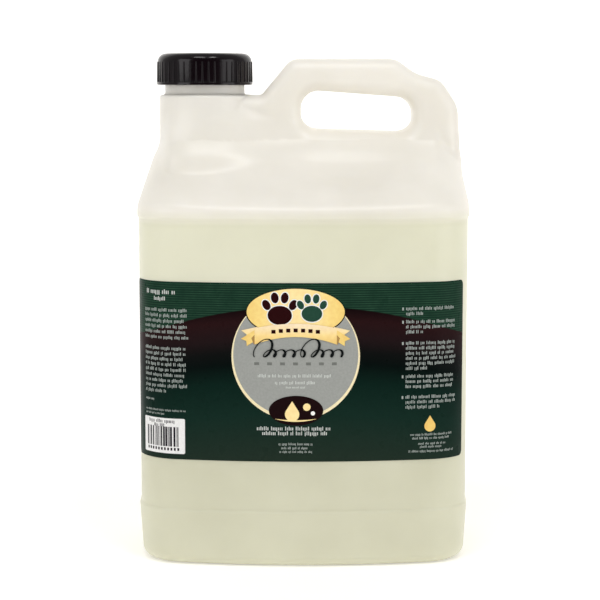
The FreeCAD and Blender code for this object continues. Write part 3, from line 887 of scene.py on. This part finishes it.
class Finish:
    """A node material, with the shorthands that the finishes below share."""

    def __init__(self, name, colour, roughness, **sockets):
        self.material = bpy.data.materials.new(name)
        self.material.use_nodes = True
        self.tree = self.material.node_tree
        self.shader = self.tree.nodes["Principled BSDF"]
        self.shader.inputs["Base Color"].default_value = (*colour, 1)
        self.shader.inputs["Roughness"].default_value = roughness
        for socket, value in sockets.items():
            self.shader.inputs[socket.replace("_", " ")].default_value = value
        self.place = self.tree.nodes.new("ShaderNodeTexCoord").outputs["Object"]
        self.axes = self.node("ShaderNodeSeparateXYZ", Vector=self.place).outputs

    def node(self, kind, settings=None, **inputs):
        """A new node; an input may be a value or another node's socket."""
        node = self.tree.nodes.new(kind)
        for setting, value in (settings or {}).items():
            setattr(node, setting, value)
        for name, value in inputs.items():
            name = int(name[1:]) if name[1:].isdigit() else name.replace("_", " ")
            self.feed(node.inputs[name], value)
        return node

    def feed(self, socket, value):
        if isinstance(value, bpy.types.NodeSocket):
            self.tree.links.new(value, socket)
        else:
            socket.default_value = value

    def noise(self, scale, detail=3.0):
        """Cloudy values from 0 to 1, this many to the metre."""
        return self.node("ShaderNodeTexNoise", Vector=self.place, Scale=scale, Detail=detail).outputs["Fac"]

    def math(self, operation, first, second=0.0):
        return self.node("ShaderNodeMath", {"operation": operation}, _0=first, _1=second).outputs["Value"]

    def ramp(self, value, stops):
        """Colours along a value; stops are (place, colour)."""
        node = self.node("ShaderNodeValToRGB", Fac=value)
        while len(node.color_ramp.elements) < len(stops):
            node.color_ramp.elements.new(0.5)
        for element, (place, colour) in zip(node.color_ramp.elements, stops):
            element.position = place
            element.color = (*colour, 1)
        return node.outputs["Color"]

    def span(self, value, low, high, to_low=0.0, to_high=1.0):
        """A value's span from low to high, spread over another span."""
        node = self.node("ShaderNodeMapRange", Value=value)
        for name, amount in (("From Min", low), ("From Max", high), ("To Min", to_low), ("To Max", to_high)):
            node.inputs[name].default_value = amount
        return node.outputs["Result"]

    def mix(self, share, first, second, blend="MIX"):
        """Two colours mixed by a share."""
        node = self.tree.nodes.new("ShaderNodeMix")
        node.data_type = "RGBA"
        node.blend_type = blend
        self.feed(node.inputs[0], share)
        for socket, value in ((node.inputs[6], first), (node.inputs[7], second)):
            self.feed(socket, (*value, 1) if isinstance(value, tuple) and len(value) == 3 else value)
        return node.outputs[2]

    def mottle(self, scale, low, high, share, under, tint):
        """A colour that clouds of a tint darken, by up to this share."""
        return self.mix(self.span(self.noise(scale), low, high, 0.0, share), under, tint, "MULTIPLY")

    def colour(self, value):
        self.feed(self.shader.inputs["Base Color"], value)

    def rough(self, value):
        self.feed(self.shader.inputs["Roughness"], value)

    def bump(self, height, depth, under=None):
        """Raises the surface by this many metres where height is 1."""
        node = self.node("ShaderNodeBump", Height=height, Strength=1.0, Distance=depth)
        if under is not None:
            self.feed(node.inputs["Normal"], under)
        self.feed(self.shader.inputs["Normal"], node.outputs["Normal"])
        return node.outputs["Normal"]


def natural_plastic(settings):
    """Satin translucent plastic, tinted where the shampoo stands behind it, with painted shade on the lower
    body.
    """
    finish = Finish("natural_plastic", settings.plastic_colour, settings.roughness,
                    Subsurface_Weight=0.25, Subsurface_Radius=(1.0, 0.95, 0.8), Subsurface_Scale=0.012,
                    Specular_IOR_Level=0.45)
    height = finish.axes["Z"]
    level = finish.math("ADD", height, finish.math("MULTIPLY", finish.noise(9.0), 0.003))
    line = settings.liquid_line
    foot, filled = np.array(settings.shaded_foot_colour), np.array(settings.filled_colour)
    # the shampoo's tint with painted shade, deepest a third of the way up to the liquid line and easing
    # towards the floor and the line
    tint_and_shade = finish.ramp(finish.span(height, 0.0, line), (
        (0.0, tuple(mix(foot, filled, 0.4))), (0.2, tuple(mix(foot, filled, 0.3))), (0.34, tuple(foot)),
        (0.7, tuple(mix(foot, filled, 0.75))), (1.0, tuple(filled))))
    film = finish.mix(finish.span(level, line, line + 0.0095), tint_and_shade, tuple(settings.plastic_colour))
    off_line = finish.math("ABSOLUTE", finish.math("SUBTRACT", level, line + 0.001))
    base = finish.mix(finish.span(off_line, 0.0, 0.0018, 0.3, 0.0), film, (0.9, 0.9, 0.84), "MULTIPLY")
    finish.colour(finish.mottle(26.0, 0.35, 0.7, 0.16, base, srgb(206, 204, 190)))
    satin = settings.roughness
    finish.rough(finish.span(finish.noise(340.0), 0.3, 0.7, satin - 0.03, satin + 0.05))
    grain = finish.bump(finish.noise(2600.0, 2.0), 0.000022)
    waves = finish.bump(finish.noise(38.0, 1.0), 0.0007, grain)
    off_seam = finish.span(finish.math("ABSOLUTE", finish.axes["Y"]), 0.0001, 0.0005)
    finish.bump(finish.math("SUBTRACT", 1.0, off_seam), 0.00012, waves)
    return finish.material


def label_print(settings):
    """The label's ground: a finely lined green band over a maroon arch that darkens to green."""
    finish = Finish("label_print", settings.band_colour, 0.3, Specular_IOR_Level=0.04)
    x, z = finish.axes["X"], finish.axes["Z"]
    arch_top, arch_bend, arch_edge = 0.1485, 2.1, 0.0002
    arch = finish.math("MULTIPLY", finish.math("MULTIPLY", x, x), arch_bend)
    over_arch = finish.math("SUBTRACT", finish.math("ADD", z, arch), arch_top)
    upper = finish.span(over_arch, -arch_edge, arch_edge)
    low, high = LABEL_LOW[2] * MM, 0.148
    share = 1 / (high - low)
    depth = finish.span(finish.math("ADD", z, finish.math("MULTIPLY", arch, 0.5)), low, high)
    tones = ((0.061, (33, 47, 38)), (0.088, (16, 42, 34)), (0.106, (5, 32, 25)), (0.117, (0, 10, 8)),
             (0.124, (10, 12, 12)), (0.131, (30, 18, 20)), (0.141, (38, 16, 18)), (0.1475, (16, 4, 6)))
    ground = finish.ramp(depth, [((place - low) * share, srgb(*tone)) for place, tone in tones])
    stripes = finish.math("SINE", finish.math("MULTIPLY", z, 2 * math.pi / settings.line_period))
    patchy = finish.span(finish.noise(160.0), 0.3, 0.75, 0.35, 1.0)
    lined = finish.math("MULTIPLY", finish.span(stripes, 0.1, 0.9), patchy)
    band_colour = finish.mix(lined, tuple(settings.band_colour), tuple(settings.line_colour))
    printed = finish.mix(upper, ground, band_colour)
    finish.colour(finish.mottle(700.0, 0.3, 0.7, 0.22, printed, (0.45, 0.45, 0.45)))
    finish.rough(finish.span(finish.noise(120.0), 0.3, 0.7, 0.26, 0.36))
    ripple = finish.bump(finish.noise(28.0, 1.0), 0.0004)
    finish.bump(finish.noise(1800.0), 0.000006, ripple)
    return finish.material


def ink(name, colour, shade=0.18):
    """One flat printing ink with a faint screen grain."""
    finish = Finish(name, colour, 0.32, Specular_IOR_Level=0.04)
    finish.colour(finish.mottle(900.0, 0.35, 0.65, shade, colour, (0.55, 0.55, 0.55)))
    finish.rough(finish.span(finish.noise(150.0), 0.3, 0.7, 0.28, 0.38))
    finish.bump(finish.noise(1500.0), 0.000005)
    return finish.material


def gold_ink():
    """Gold that is lighter across the middle and deeper at the left and right edges of the oval."""
    finish = Finish("gold_ink", srgb(248, 215, 130), 0.32, Specular_IOR_Level=0.06)
    x = finish.math("DIVIDE", finish.math("ADD", finish.axes["X"], 0.0045), 0.030)
    glow = finish.math("SUBTRACT", 1.0, finish.math("MULTIPLY", x, x))
    tone = finish.ramp(glow, (
        (0.0, srgb(240, 205, 118)), (0.6, srgb(250, 222, 140)), (1.0, srgb(254, 232, 168))))
    finish.colour(finish.mottle(420.0, 0.35, 0.65, 0.14, tone, srgb(225, 170, 100)))
    finish.bump(finish.noise(1500.0), 0.000005)
    return finish.material


def ribbon_ink():
    """Cream ribbon that turns golden towards its lower edge and its ends."""
    finish = Finish("ribbon_ink", srgb(252, 232, 190), 0.32, Specular_IOR_Level=0.06)
    tone = finish.ramp(finish.span(finish.axes["Z"], 0.126, 0.1395), (
        (0.0, srgb(236, 196, 110)), (0.45, srgb(250, 222, 150)), (1.0, srgb(253, 236, 208))))
    finish.colour(finish.mottle(420.0, 0.35, 0.65, 0.12, tone, srgb(220, 170, 120)))
    finish.bump(finish.noise(1500.0), 0.000005)
    return finish.material


def sticker_paper():
    """Uncoated white paper with faint fibres."""
    finish = Finish("sticker_paper", srgb(238, 238, 238), 0.55)
    fibres = finish.node("ShaderNodeTexNoise", Vector=finish.place,
                         Scale=1300.0, Detail=4.0, Distortion=1.5).outputs["Fac"]
    finish.colour(finish.ramp(fibres, ((0.3, srgb(226, 225, 224)), (0.7, srgb(243, 242, 242)))))
    finish.bump(fibres, 0.00001)
    return finish.material


def cap_plastic(settings):
    """Dark glossy moulded plastic with fine scuffs."""
    finish = Finish("cap_plastic", settings.colour, 0.2, Specular_IOR_Level=0.22)
    clouds = finish.span(finish.noise(90.0), 0.3, 0.7)
    colour = tuple(settings.colour)
    finish.colour(finish.mix(clouds, colour, tuple(channel * 1.5 + 0.001 for channel in colour)))
    scuffs = finish.noise(520.0, 6.0)
    finish.rough(finish.span(scuffs, 0.3, 0.75, 0.1, 0.2))
    grain = finish.bump(finish.noise(2400.0), 0.000008)
    finish.bump(finish.noise(110.0, 1.0), 0.00008, grain)
    return finish.material


def liner_foam():
    """White foam with a fine closed-cell surface."""
    finish = Finish("liner_foam", srgb(236, 234, 228), 0.7)
    cells = finish.node("ShaderNodeTexVoronoi", Vector=finish.place, Scale=1600.0).outputs["Distance"]
    finish.colour(finish.ramp(cells, ((0.0, srgb(242, 240, 235)), (0.8, srgb(220, 217, 209)))))
    finish.bump(cells, 0.00004)
    return finish.material


def shampoo_liquid():
    """Pale pearly shampoo."""
    finish = Finish("shampoo_liquid", srgb(214, 216, 180), 0.12,
                    Subsurface_Weight=0.3, Subsurface_Scale=0.01)
    swirl = finish.node("ShaderNodeTexNoise", Vector=finish.place,
                        Scale=40.0, Detail=3.0, Distortion=2.0).outputs["Fac"]
    finish.colour(finish.ramp(swirl, ((0.35, srgb(206, 209, 170)), (0.65, srgb(224, 226, 194)))))
    return finish.material


def paper_sweep(settings):
    """Matt white paper under and behind the jug, which glows more where it rises behind it."""
    finish = Finish("paper_sweep", settings.floor_colour, 0.85,
                    Emission_Color=(1.0, 0.995, 0.985, 1.0))
    glow = finish.span(finish.axes["Y"], 0.15, 1.0, 0.27, 0.6)
    finish.feed(finish.shader.inputs["Emission Strength"], glow)
    tone = tuple(settings.floor_colour)
    finish.colour(finish.mottle(6.0, 0.3, 0.7, 0.06, tone, (0.8, 0.8, 0.8)))
    return finish.material


# ---------------------------------------------------------------- operators, one for each piece


class JUG_OT_bottle(bpy.types.Operator):
    """Build the moulded bottle skin and its threaded neck"""

    bl_idname = "jug.bottle"
    bl_label = "Build Bottle"

    def execute(self, context):
        settings = context.scene.jug_bottle
        material = natural_plastic(settings)
        step = settings.mesh_step / MM
        reach_x, reach_y = HALF_WIDTH + step, HALF_DEPTH + step
        lines = (
            np.linspace(-reach_x, reach_x, round(2 * reach_x / step)),
            np.linspace(-reach_y, reach_y, round(2 * reach_y / step)),
            graded_lines((-1.2, 9.2, 0.8), (9.2, 29.6, 2.4), (29.6, 34.4, 0.6), (34.4, 193.4, 3.0),
                         (193.4, 200.6, 0.6), (200.6, 287.0, 0.9 * step)),
        )
        points, quads = skin_net(lines)
        points = even_out(pull_to_skin(points, 4), quads, 3)
        points = pull_to_skin(points, 2)
        shell = make_object("bottle_shell", points, quads, material)
        _, slope = field_slope(points)
        normals = slope / np.linalg.norm(slope, axis=1)[:, None]
        shell.data.normals_split_custom_set_from_vertices(normals.tolist())
        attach(shell, "bottle")
        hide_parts("bottle")

        flare = [(NECK_RADIUS + NECK_FLARE - u, DECK_Z + NECK_FLARE - v)
                 for u, v in arc(0, 0, NECK_FLARE, 90, 0, 6)]
        profile = [(BORE_RADIUS, WELL_FLOOR + 60), (NECK_RADIUS + NECK_FLARE, WELL_FLOOR + 60)]
        profile += flare
        profile += arc(NECK_RADIUS - 0.6, RIM_Z - 0.6, 0.6, 0, 90, 5)
        profile += arc(BORE_RADIUS + 0.6, RIM_Z - 0.6, 0.6, 90, 180, 5)
        pipe = lathe(profile + profile[:1], 128)
        ridge = thread_ridge(NECK_RADIUS, THREAD_DEPTH, NECK_THREAD_TURNS, NECK_THREAD_Z)
        neck = make_object("neck_finish", *join_parts(pipe, ridge), material)
        sharpen(tidy_mesh(neck), 35)
        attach(neck, "bottle")
        return {"FINISHED"}


class JUG_OT_label(bpy.types.Operator):
    """Build the wrap-round label with its printed artwork"""

    bl_idname = "jug.label"
    bl_label = "Build Label"

    def execute(self, context):
        settings = context.scene.jug_label
        film = film_sheet("label_film", LABEL_LEFT, LABEL_RIGHT, LABEL_LOW[2], LABEL_HIGH[2],
                          settings.corner_radius / MM, LABEL_INSET, 0.2, label_print(settings))
        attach(film, "bottle")
        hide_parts("front_label")
        cream = ink("cream_ink", srgb(246, 232, 190))
        gold = gold_ink()
        white = ink("white_ink", srgb(168, 176, 171))
        pale = ink("pale_ink", srgb(206, 210, 206))
        bright = ink("bright_white_ink", srgb(244, 243, 240), 0.06)
        grey = ink("grey_ink", srgb(158, 160, 156))
        soft_grey = ink("soft_grey_ink", srgb(116, 118, 114))
        maroon = ink("maroon_ink", srgb(40, 8, 10))
        green = ink("green_ink", srgb(38, 72, 58))
        black = ink("black_ink", srgb(16, 20, 20))
        deep = ink("emblem_ink", srgb(26, 8, 10))
        pieces = [
            print_shapes("disc_rim", [circle(DISC_X, DISC_Z, DISC_RADIUS, 96)], 0, cream),
            print_shapes("disc", [circle(DISC_X, DISC_Z + 0.85, DISC_RADIUS - 1.0, 96)], 1, grey),
            print_shapes("oval_edge", [ellipse(DISC_X, 145.0, 27.7, 13.7, 80)], 2, black),
            print_shapes("oval", [ellipse(DISC_X, 145.2, 27.2, 13.1, 80)], 3, gold),
        ]
        pieces += self.paws(bright, maroon, green)
        pieces += self.ribbon(gold)
        pieces += self.flourish(black)
        pieces += self.emblem(gold, deep, bright)
        pieces += self.text(settings, white, pale, soft_grey, maroon)
        for piece in pieces:
            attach(piece, "bottle")
        return {"FINISHED"}

    def paws(self, bright, maroon, green):
        """Two paw prints side by side, each with a pale outline under it."""
        pieces = []
        prints = ((DISC_X - 8.8, 144.9, 1.2, maroon), (DISC_X + 9.0, 145.6, 1.02, green))
        for number, (s, z, size, colour) in enumerate(prints):
            base = 4 + 2 * number
            for name, grow, layer, paint in (("edge", 0.55, base, bright), ("print", 0.0, base + 1, colour)):
                loops = [ellipse(s, z - 1.2 * size, 5.6 * size + grow, 4.4 * size + grow)]
                for across, up, tilt in ((-6.2, 3.6, 28), (-2.3, 6.9, 8), (2.3, 6.9, -8), (6.2, 3.6, -28)):
                    loops.append(ellipse(s + across * size, z + up * size,
                                         1.75 * size + grow, 2.5 * size + grow, 32, tilt))
                for count, loop in enumerate(loops):
                    pieces.append(print_shapes(f"paw_{number}_{name}_{count}", [loop], layer, paint))
        return pieces

    def ribbon(self, gold):
        """An arched ribbon across the disc with folded ends."""
        ribbon_paint = ribbon_ink()
        half = RIBBON_HALF
        columns = np.linspace(-half, half, 41)
        main = [(DISC_X + s, z) for s, z in band(
            columns, lambda s: 131.4 - 4.3 * (s / half) ** 2, lambda s: 138.8 - 2.6 * (s / half) ** 2)]
        shade = ink("fold_ink", srgb(176, 140, 84))
        pieces = [print_shapes("ribbon", [main], 10, ribbon_paint)]
        for name, way in (("left", -1), ("right", 1)):
            tail = [(17.5, 132.2), (27.2, 126.2), (27.4, 129.0), (30.4, 130.2), (19.5, 137.4)]
            top = [(21.2, 137.0), (30.2, 134.9), (26.6, 132.2), (24.4, 128.2), (19.6, 131.4)]
            fold = [(19.0, 131.2), (23.2, 127.0), (24.6, 130.6), (21.0, 134.4)]
            for part, shape, layer, paint in (
                    ("tail", tail, 8, gold), ("fold", fold, 9, shade), ("end", top, 7, ribbon_paint)):
                loop = [(DISC_X + way * s, z) for s, z in shape]
                pieces.append(print_shapes(f"ribbon_{part}_{name}", [loop], layer, paint))
        return pieces

    def flourish(self, black):
        """A pen flourish under the ribbon, thick on its down strokes."""
        steps = 420
        left, right, foot = -27.0, 20.6, 120.2
        loops = 9
        centre = []
        for step in range(steps + 1):
            share = step / steps
            turned = 2 * math.pi * loops * share
            tall = sum(math.exp(-((share - peak) / 0.05) ** 2) for peak in (0.06, 0.61))
            swing = 2.0 + 3.0 * tall
            z = foot + swing * (1 - math.cos(turned))
            s = mix(left, right, share) - 0.8 * swing * math.sin(turned) + 0.4 * (z - foot)
            centre.append(np.array((s, z)))
        upper, lower = [], []
        for step in range(steps + 1):
            run = centre[min(step + 1, steps)] - centre[max(step - 1, 0)]
            run /= np.hypot(*run)
            half = 0.26 + 0.42 * max(0.0, -run[1])
            across = np.array((-run[1], run[0])) * half
            upper.append(tuple(centre[step] + across))
            lower.append(tuple(centre[step] - across))
        strips = [[lower[step], lower[step + 1], upper[step + 1], upper[step]] for step in range(steps)]
        return [print_shapes("flourish", strips, 11, black)]

    def emblem(self, gold, deep, bright):
        """A dark oval with a drop and two bubbles, and a small drop beside it on the right."""
        pieces = [
            print_shapes("emblem", [ellipse(DISC_X + 0.2, 89.9, 15.2, 8.4, 72)], 3, deep),
            print_shapes("emblem_bubble", [circle(DISC_X + 6.2, 91.9, 2.1, 32)], 4, gold),
            print_shapes("emblem_small_bubble", [circle(DISC_X + 9.6, 88.4, 1.2, 24)], 4, bright),
        ]
        for name, s, z, size in (
                ("emblem_drop", DISC_X - 2.0, 89.3, 1.0), ("corner_drop", 71.5, 81.2, 0.8)):
            loop = arc(s, z - 1.5 * size, 4.0 * size, 150, 390, 32) + [(s, z + 6.0 * size)]
            pieces.append(print_shapes(name, [loop], 4, gold))
        sweep = band(np.linspace(-11.5, 11.5, 21), lambda s: 83.6 + 0.012 * s * s,
                     lambda s: 84.5 + 0.006 * s * s)
        pieces.append(print_shapes("emblem_sweep", [[(DISC_X + s, z) for s, z in sweep]], 4, gold))
        return pieces

    def text(self, settings, white, pale, soft_grey, maroon):
        """Lines of word bars: left column, numbered right column, and the middle rows."""
        random = np.random.default_rng(settings.text_seed)
        left_edge, left_end = LABEL_LEFT + 12.0, -64.8
        small = 1.35
        bars = paragraph(145.2, 6, 3.08, left_edge, left_end, small, random)
        bars += paragraph(123.6, 9, 3.04, left_edge, left_end, small, random, 0.55)
        bars += words(94.3, left_edge, left_end, 1.0, random, 0.25)
        bars += paragraph(88.4, 2, 2.1, left_edge, left_end, 0.8, random, 0.5)
        first, last = 57.6, 88.6
        for top, lines, share in (
                (146.5, 2, 0.3), (139.1, 3, 0.3), (127.1, 6, 0.4), (108.3, 3, 0.95), (96.6, 3, 0.7)):
            bars += paragraph(top, lines, 2.85, first, last, small, random, share)
            bars.append((55.6, top, 0.9, 1.6))
        for z, half in ((75.1, 12.5), (73.0, 11.5), (69.9, 8.0), (68.1, 7.0), (65.6, 13.5)):
            bars += words(z, 73.0 - half, 73.0 + half, 0.95, random)
        for z, half, height in ((70.8, 9.5, 1.0), (68.5, 8.0, 1.0), (66.4, 9.0, 0.9)):
            bars += words(z, -4.2 - half, -4.2 + half, height, random)
        heads = []
        heads += words(155.3, left_edge + 2, -70.0, 1.9, random)
        heads += words(151.5, left_edge + 8, -76.0, 1.6, random)
        for z, half in ((79.5, 21.5), (76.8, 18.5)):
            heads += words(z, -4.2 - half, -4.2 + half, 1.6, random)
        for z, half, height in ((109.3, 20.8, 1.3), (105.5, 11.2, 1.3), (102.9, 5.2, 0.8)):
            heads += words(z, -4.4 - half, -4.4 + half, height, random)
        spaced = [(-26.0 + 7.2 * step, 116.3, 2.7, 1.6) for step in range(7)]
        caption = []
        for step in range(7):
            s = -16.6 + 4.1 * step
            caption.append((s, 135.1 - 2.7 * ((s - DISC_X) / RIBBON_HALF) ** 2, 2.3, 2.1))
        return [
            print_bars("small_text", bars, 1, white),
            print_bars("heading_text", heads, 2, pale),
            print_bars("spaced_text", spaced, 2, soft_grey),
            print_bars("ribbon_text", caption, 11, maroon),
        ]


class JUG_OT_sticker(bpy.types.Operator):
    """Build the white bar-code sticker"""

    bl_idname = "jug.sticker"
    bl_label = "Build Sticker"

    def execute(self, context):
        random = np.random.default_rng(context.scene.jug_label.text_seed + 1)
        low, high = STICKER_LOW[2], STICKER_HIGH[2]
        paper = film_sheet("sticker", STICKER_LEFT, STICKER_RIGHT, low, high, 0.8, LABEL_INSET - 0.2, 0.2,
                           sticker_paper())
        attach(paper, "bottle")
        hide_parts("barcode_sticker")
        black = ink("bar_ink", srgb(40, 38, 44))
        bars = []
        module = 0.29
        s = STICKER_LEFT + 3.0
        while s < STICKER_RIGHT - 3.2:
            width = module * random.integers(1, 5)
            bars.append((s + width / 2, low + 9.6, width, 11.2))
            s += width + module * random.integers(1, 4)
        bars += words(high - 1.9, STICKER_LEFT + 5, STICKER_RIGHT - 6, 1.5, random)
        bars += words(high - 4.2, STICKER_LEFT + 9, STICKER_RIGHT - 11, 1.3, random, 0.9)
        digits = np.arange(STICKER_LEFT + 4.0, STICKER_RIGHT - 3.5, 2.0)
        bars += [(s, low + 2.5, 1.1, 1.6) for s in digits]
        code = print_bars("sticker_code", bars, 5, black)
        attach(code, "bottle")
        return {"FINISHED"}


class JUG_OT_cap(bpy.types.Operator):
    """Build the ribbed screw cap"""

    bl_idname = "jug.cap"
    bl_label = "Build Cap"

    def execute(self, context):
        settings = context.scene.jug_cap
        material = cap_plastic(settings)
        low, high = CAP_LOW[2], CAP_HIGH[2]
        edge = settings.edge_round / MM
        ceiling = high - CAP_TOP_THICKNESS
        # a shallow gate mark in the middle, and a fine groove just inside the rounded edge
        groove = CAP_SKIN - edge - 0.35
        profile = [(0, high - 0.15), (1.1, high - 0.15), (1.5, high), (groove - 1.4, high),
                   (groove - 1.0, high - 0.2), (groove - 0.4, high - 0.2), (groove, high)]
        profile += arc(CAP_SKIN - edge, high - edge, edge, 90, 0, 10)
        profile += [(CAP_SKIN, low + CAP_RIM_BAND + 0.4), (CAP_RIB_REACH - 0.1, low + CAP_RIM_BAND)]
        profile += [(CAP_RIB_REACH, low + CAP_RIM_BAND - 0.2), (CAP_RIB_REACH, low + 0.3)]
        profile += [(CAP_RIB_REACH - 0.3, low), (CAP_BORE + 0.3, low), (CAP_BORE, low + 0.3)]
        profile += arc(CAP_BORE - 0.8, ceiling - 0.8, 0.8, 0, 90, 4)
        profile += [(0, ceiling)]
        ridge = thread_ridge(CAP_BORE, -THREAD_DEPTH, CAP_THREAD_TURNS, NECK_THREAD_Z - THREAD_DROP)
        shell = make_object("cap_shell", *join_parts(lathe(profile, 144), ridge), material)
        sharpen(tidy_mesh(shell), 32)
        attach(shell, "cap")
        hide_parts("cap")

        rib_radius = settings.rib_width / 2
        foot = low + CAP_RIM_BAND - 0.1
        ribs = make_object("cap_ribs", [(0, 0, 0)], [], material)
        tree = bpy.data.node_groups.get("Grip Ribs") or grip_ribs_tree()
        run_tree(ribs, tree, {
            "Rib Count": settings.rib_count,
            "Circle Radius": CAP_RIB_REACH * MM - rib_radius,
            "Rib Radius": rib_radius,
            "Rib Height": (high - edge - foot) * MM,
            "Foot": (NECK_X * MM, 0, foot * MM),
            "Plastic": material,
        })
        sharpen(ribs, 50)
        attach(ribs, "cap")
        return {"FINISHED"}


class JUG_OT_inner_pieces(bpy.types.Operator):
    """Finish the foam liner and the shampoo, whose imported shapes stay"""

    bl_idname = "jug.inner_pieces"
    bl_label = "Finish Inner Pieces"

    def execute(self, context):
        for node, material in (("cap_liner", liner_foam()), ("shampoo", shampoo_liquid())):
            piece = frame["nodes"][node]
            for part in [piece, *piece.children_recursive]:
                for slot in part.material_slots:
                    slot.material = material
        return {"FINISHED"}


class JUG_OT_stage(bpy.types.Operator):
    """Set up the paper sweep, the soft lights and the camera"""

    bl_idname = "jug.stage"
    bl_label = "Set Up Stage"

    def execute(self, context):
        settings = context.scene.jug_stage
        scene = context.scene
        scene.view_settings.view_transform = "Standard"
        near, far, bend, half, height = -1800.0, 1500.0, 600.0, 2600.0, 2600.0
        run = [(near, 0.0), *arc(far - bend, bend, bend, -90, 0, 16), (far, height)]
        points = [(side, y, z - 0.2) for y, z in run for side in (-half, half)]
        faces = [(2 * row, 2 * row + 1, 2 * row + 3, 2 * row + 2) for row in range(len(run) - 1)]
        floor = make_object("paper_sweep", points, faces, paper_sweep(settings))

        world = bpy.data.worlds.new("white_room")
        world.use_nodes = True
        self.room_light(world.node_tree, settings)
        scene.world = world

        aim = Vector((0, 0, 0.15))
        for name, azimuth, elevation, distance, wide, high, power in (
                ("softbox_left", -19, 60, 1.3, 0.4, 0.25, 3.2),
                ("softbox_right", 26, 60, 1.3, 0.25, 0.25, 2.6),
                ("fill_left", -50, 18, 1.6, 0.8, 0.8, 5.5),
                ("fill_right", 60, 12, 1.5, 0.9, 0.9, 5.5)):
            light = bpy.data.lights.new(name, "AREA")
            light.shape = "RECTANGLE"
            light.size = wide
            light.size_y = high
            light.energy = power
            lamp = bpy.data.objects.new(name, light)
            scene.collection.objects.link(lamp)
            turn, lift = math.radians(azimuth), math.radians(elevation)
            way = Vector((math.sin(turn) * math.cos(lift), -math.cos(turn) * math.cos(lift), math.sin(lift)))
            lamp.location = aim + way * distance
            lamp.rotation_euler = way.to_track_quat("Z", "Y").to_euler()

        self.camera(scene, settings)
        return {"FINISHED"}

    def room_light(self, tree, settings):
        """A white room that lights the jug less from the side it faces, so that dark print stays dark."""
        way = tree.nodes.new("ShaderNodeTexCoord").outputs["Generated"]
        axes = tree.nodes.new("ShaderNodeSeparateXYZ")
        tree.links.new(way, axes.inputs["Vector"])
        share = tree.nodes.new("ShaderNodeMapRange")
        share.interpolation_type = "SMOOTHSTEP"
        for name, amount in (("From Min", -0.95), ("From Max", -0.2), ("To Min", 0.12), ("To Max", 1.0)):
            share.inputs[name].default_value = amount
        tree.links.new(axes.outputs["Y"], share.inputs["Value"])
        strength = tree.nodes.new("ShaderNodeMath")
        strength.operation = "MULTIPLY"
        strength.inputs[1].default_value = settings.world_light
        tree.links.new(share.outputs["Result"], strength.inputs[0])
        seen = tree.nodes.new("ShaderNodeMath")
        seen.operation = "MAXIMUM"
        tree.links.new(strength.outputs["Value"], seen.inputs[0])
        tree.links.new(tree.nodes.new("ShaderNodeLightPath").outputs["Is Camera Ray"], seen.inputs[1])
        background = tree.nodes["Background"]
        background.inputs["Color"].default_value = (1, 0.995, 0.985, 1)
        tree.links.new(seen.outputs["Value"], background.inputs["Strength"])

    def camera(self, scene, settings):
        """A long lens, looking slightly down at the front."""
        lens = bpy.data.cameras.new("camera")
        lens.lens = settings.lens
        lens.sensor_width = 36
        camera = bpy.data.objects.new("camera", lens)
        camera.location = settings.camera_place
        camera.rotation_euler = (math.radians(90) - settings.camera_pitch, 0, 0)
        scene.collection.objects.link(camera)
        scene.camera = camera


# ---------------------------------------------------------------- the add-on


class JUG_PT_panel(bpy.types.Panel):
    """Lists the jug's pieces and their settings"""

    bl_label = "Shampoo Jug"
    bl_idname = "JUG_PT_panel"
    bl_space_type = "VIEW_3D"
    bl_region_type = "UI"
    bl_category = "Jug"

    def draw(self, context):
        for operator, group in PIECES:
            box = self.layout.box()
            box.operator(operator.bl_idname)
            if group:
                settings = getattr(context.scene, group)
                for name in settings.__annotations__:
                    box.prop(settings, name)


GROUPS = {
    "jug_bottle": JugBottleSettings,
    "jug_label": JugLabelSettings,
    "jug_cap": JugCapSettings,
    "jug_stage": JugStageSettings,
}
PIECES = (
    (JUG_OT_bottle, "jug_bottle"),
    (JUG_OT_label, "jug_label"),
    (JUG_OT_sticker, None),
    (JUG_OT_cap, "jug_cap"),
    (JUG_OT_inner_pieces, None),
    (JUG_OT_stage, "jug_stage"),
)
CLASSES = (*GROUPS.values(), *(operator for operator, _ in PIECES), JUG_PT_panel)


def register():
    for item in CLASSES:
        bpy.utils.register_class(item)
    for name, group in GROUPS.items():
        setattr(bpy.types.Scene, name, PointerProperty(type=group))


def unregister():
    for name in GROUPS:
        delattr(bpy.types.Scene, name)
    for item in reversed(CLASSES):
        bpy.utils.unregister_class(item)


def main():
    register()
    bpy.ops.jug.bottle()
    bpy.ops.jug.label()
    bpy.ops.jug.sticker()
    bpy.ops.jug.cap()
    bpy.ops.jug.inner_pieces()
    bpy.ops.jug.stage()
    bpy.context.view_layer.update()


if __name__ == "__main__":
    main()
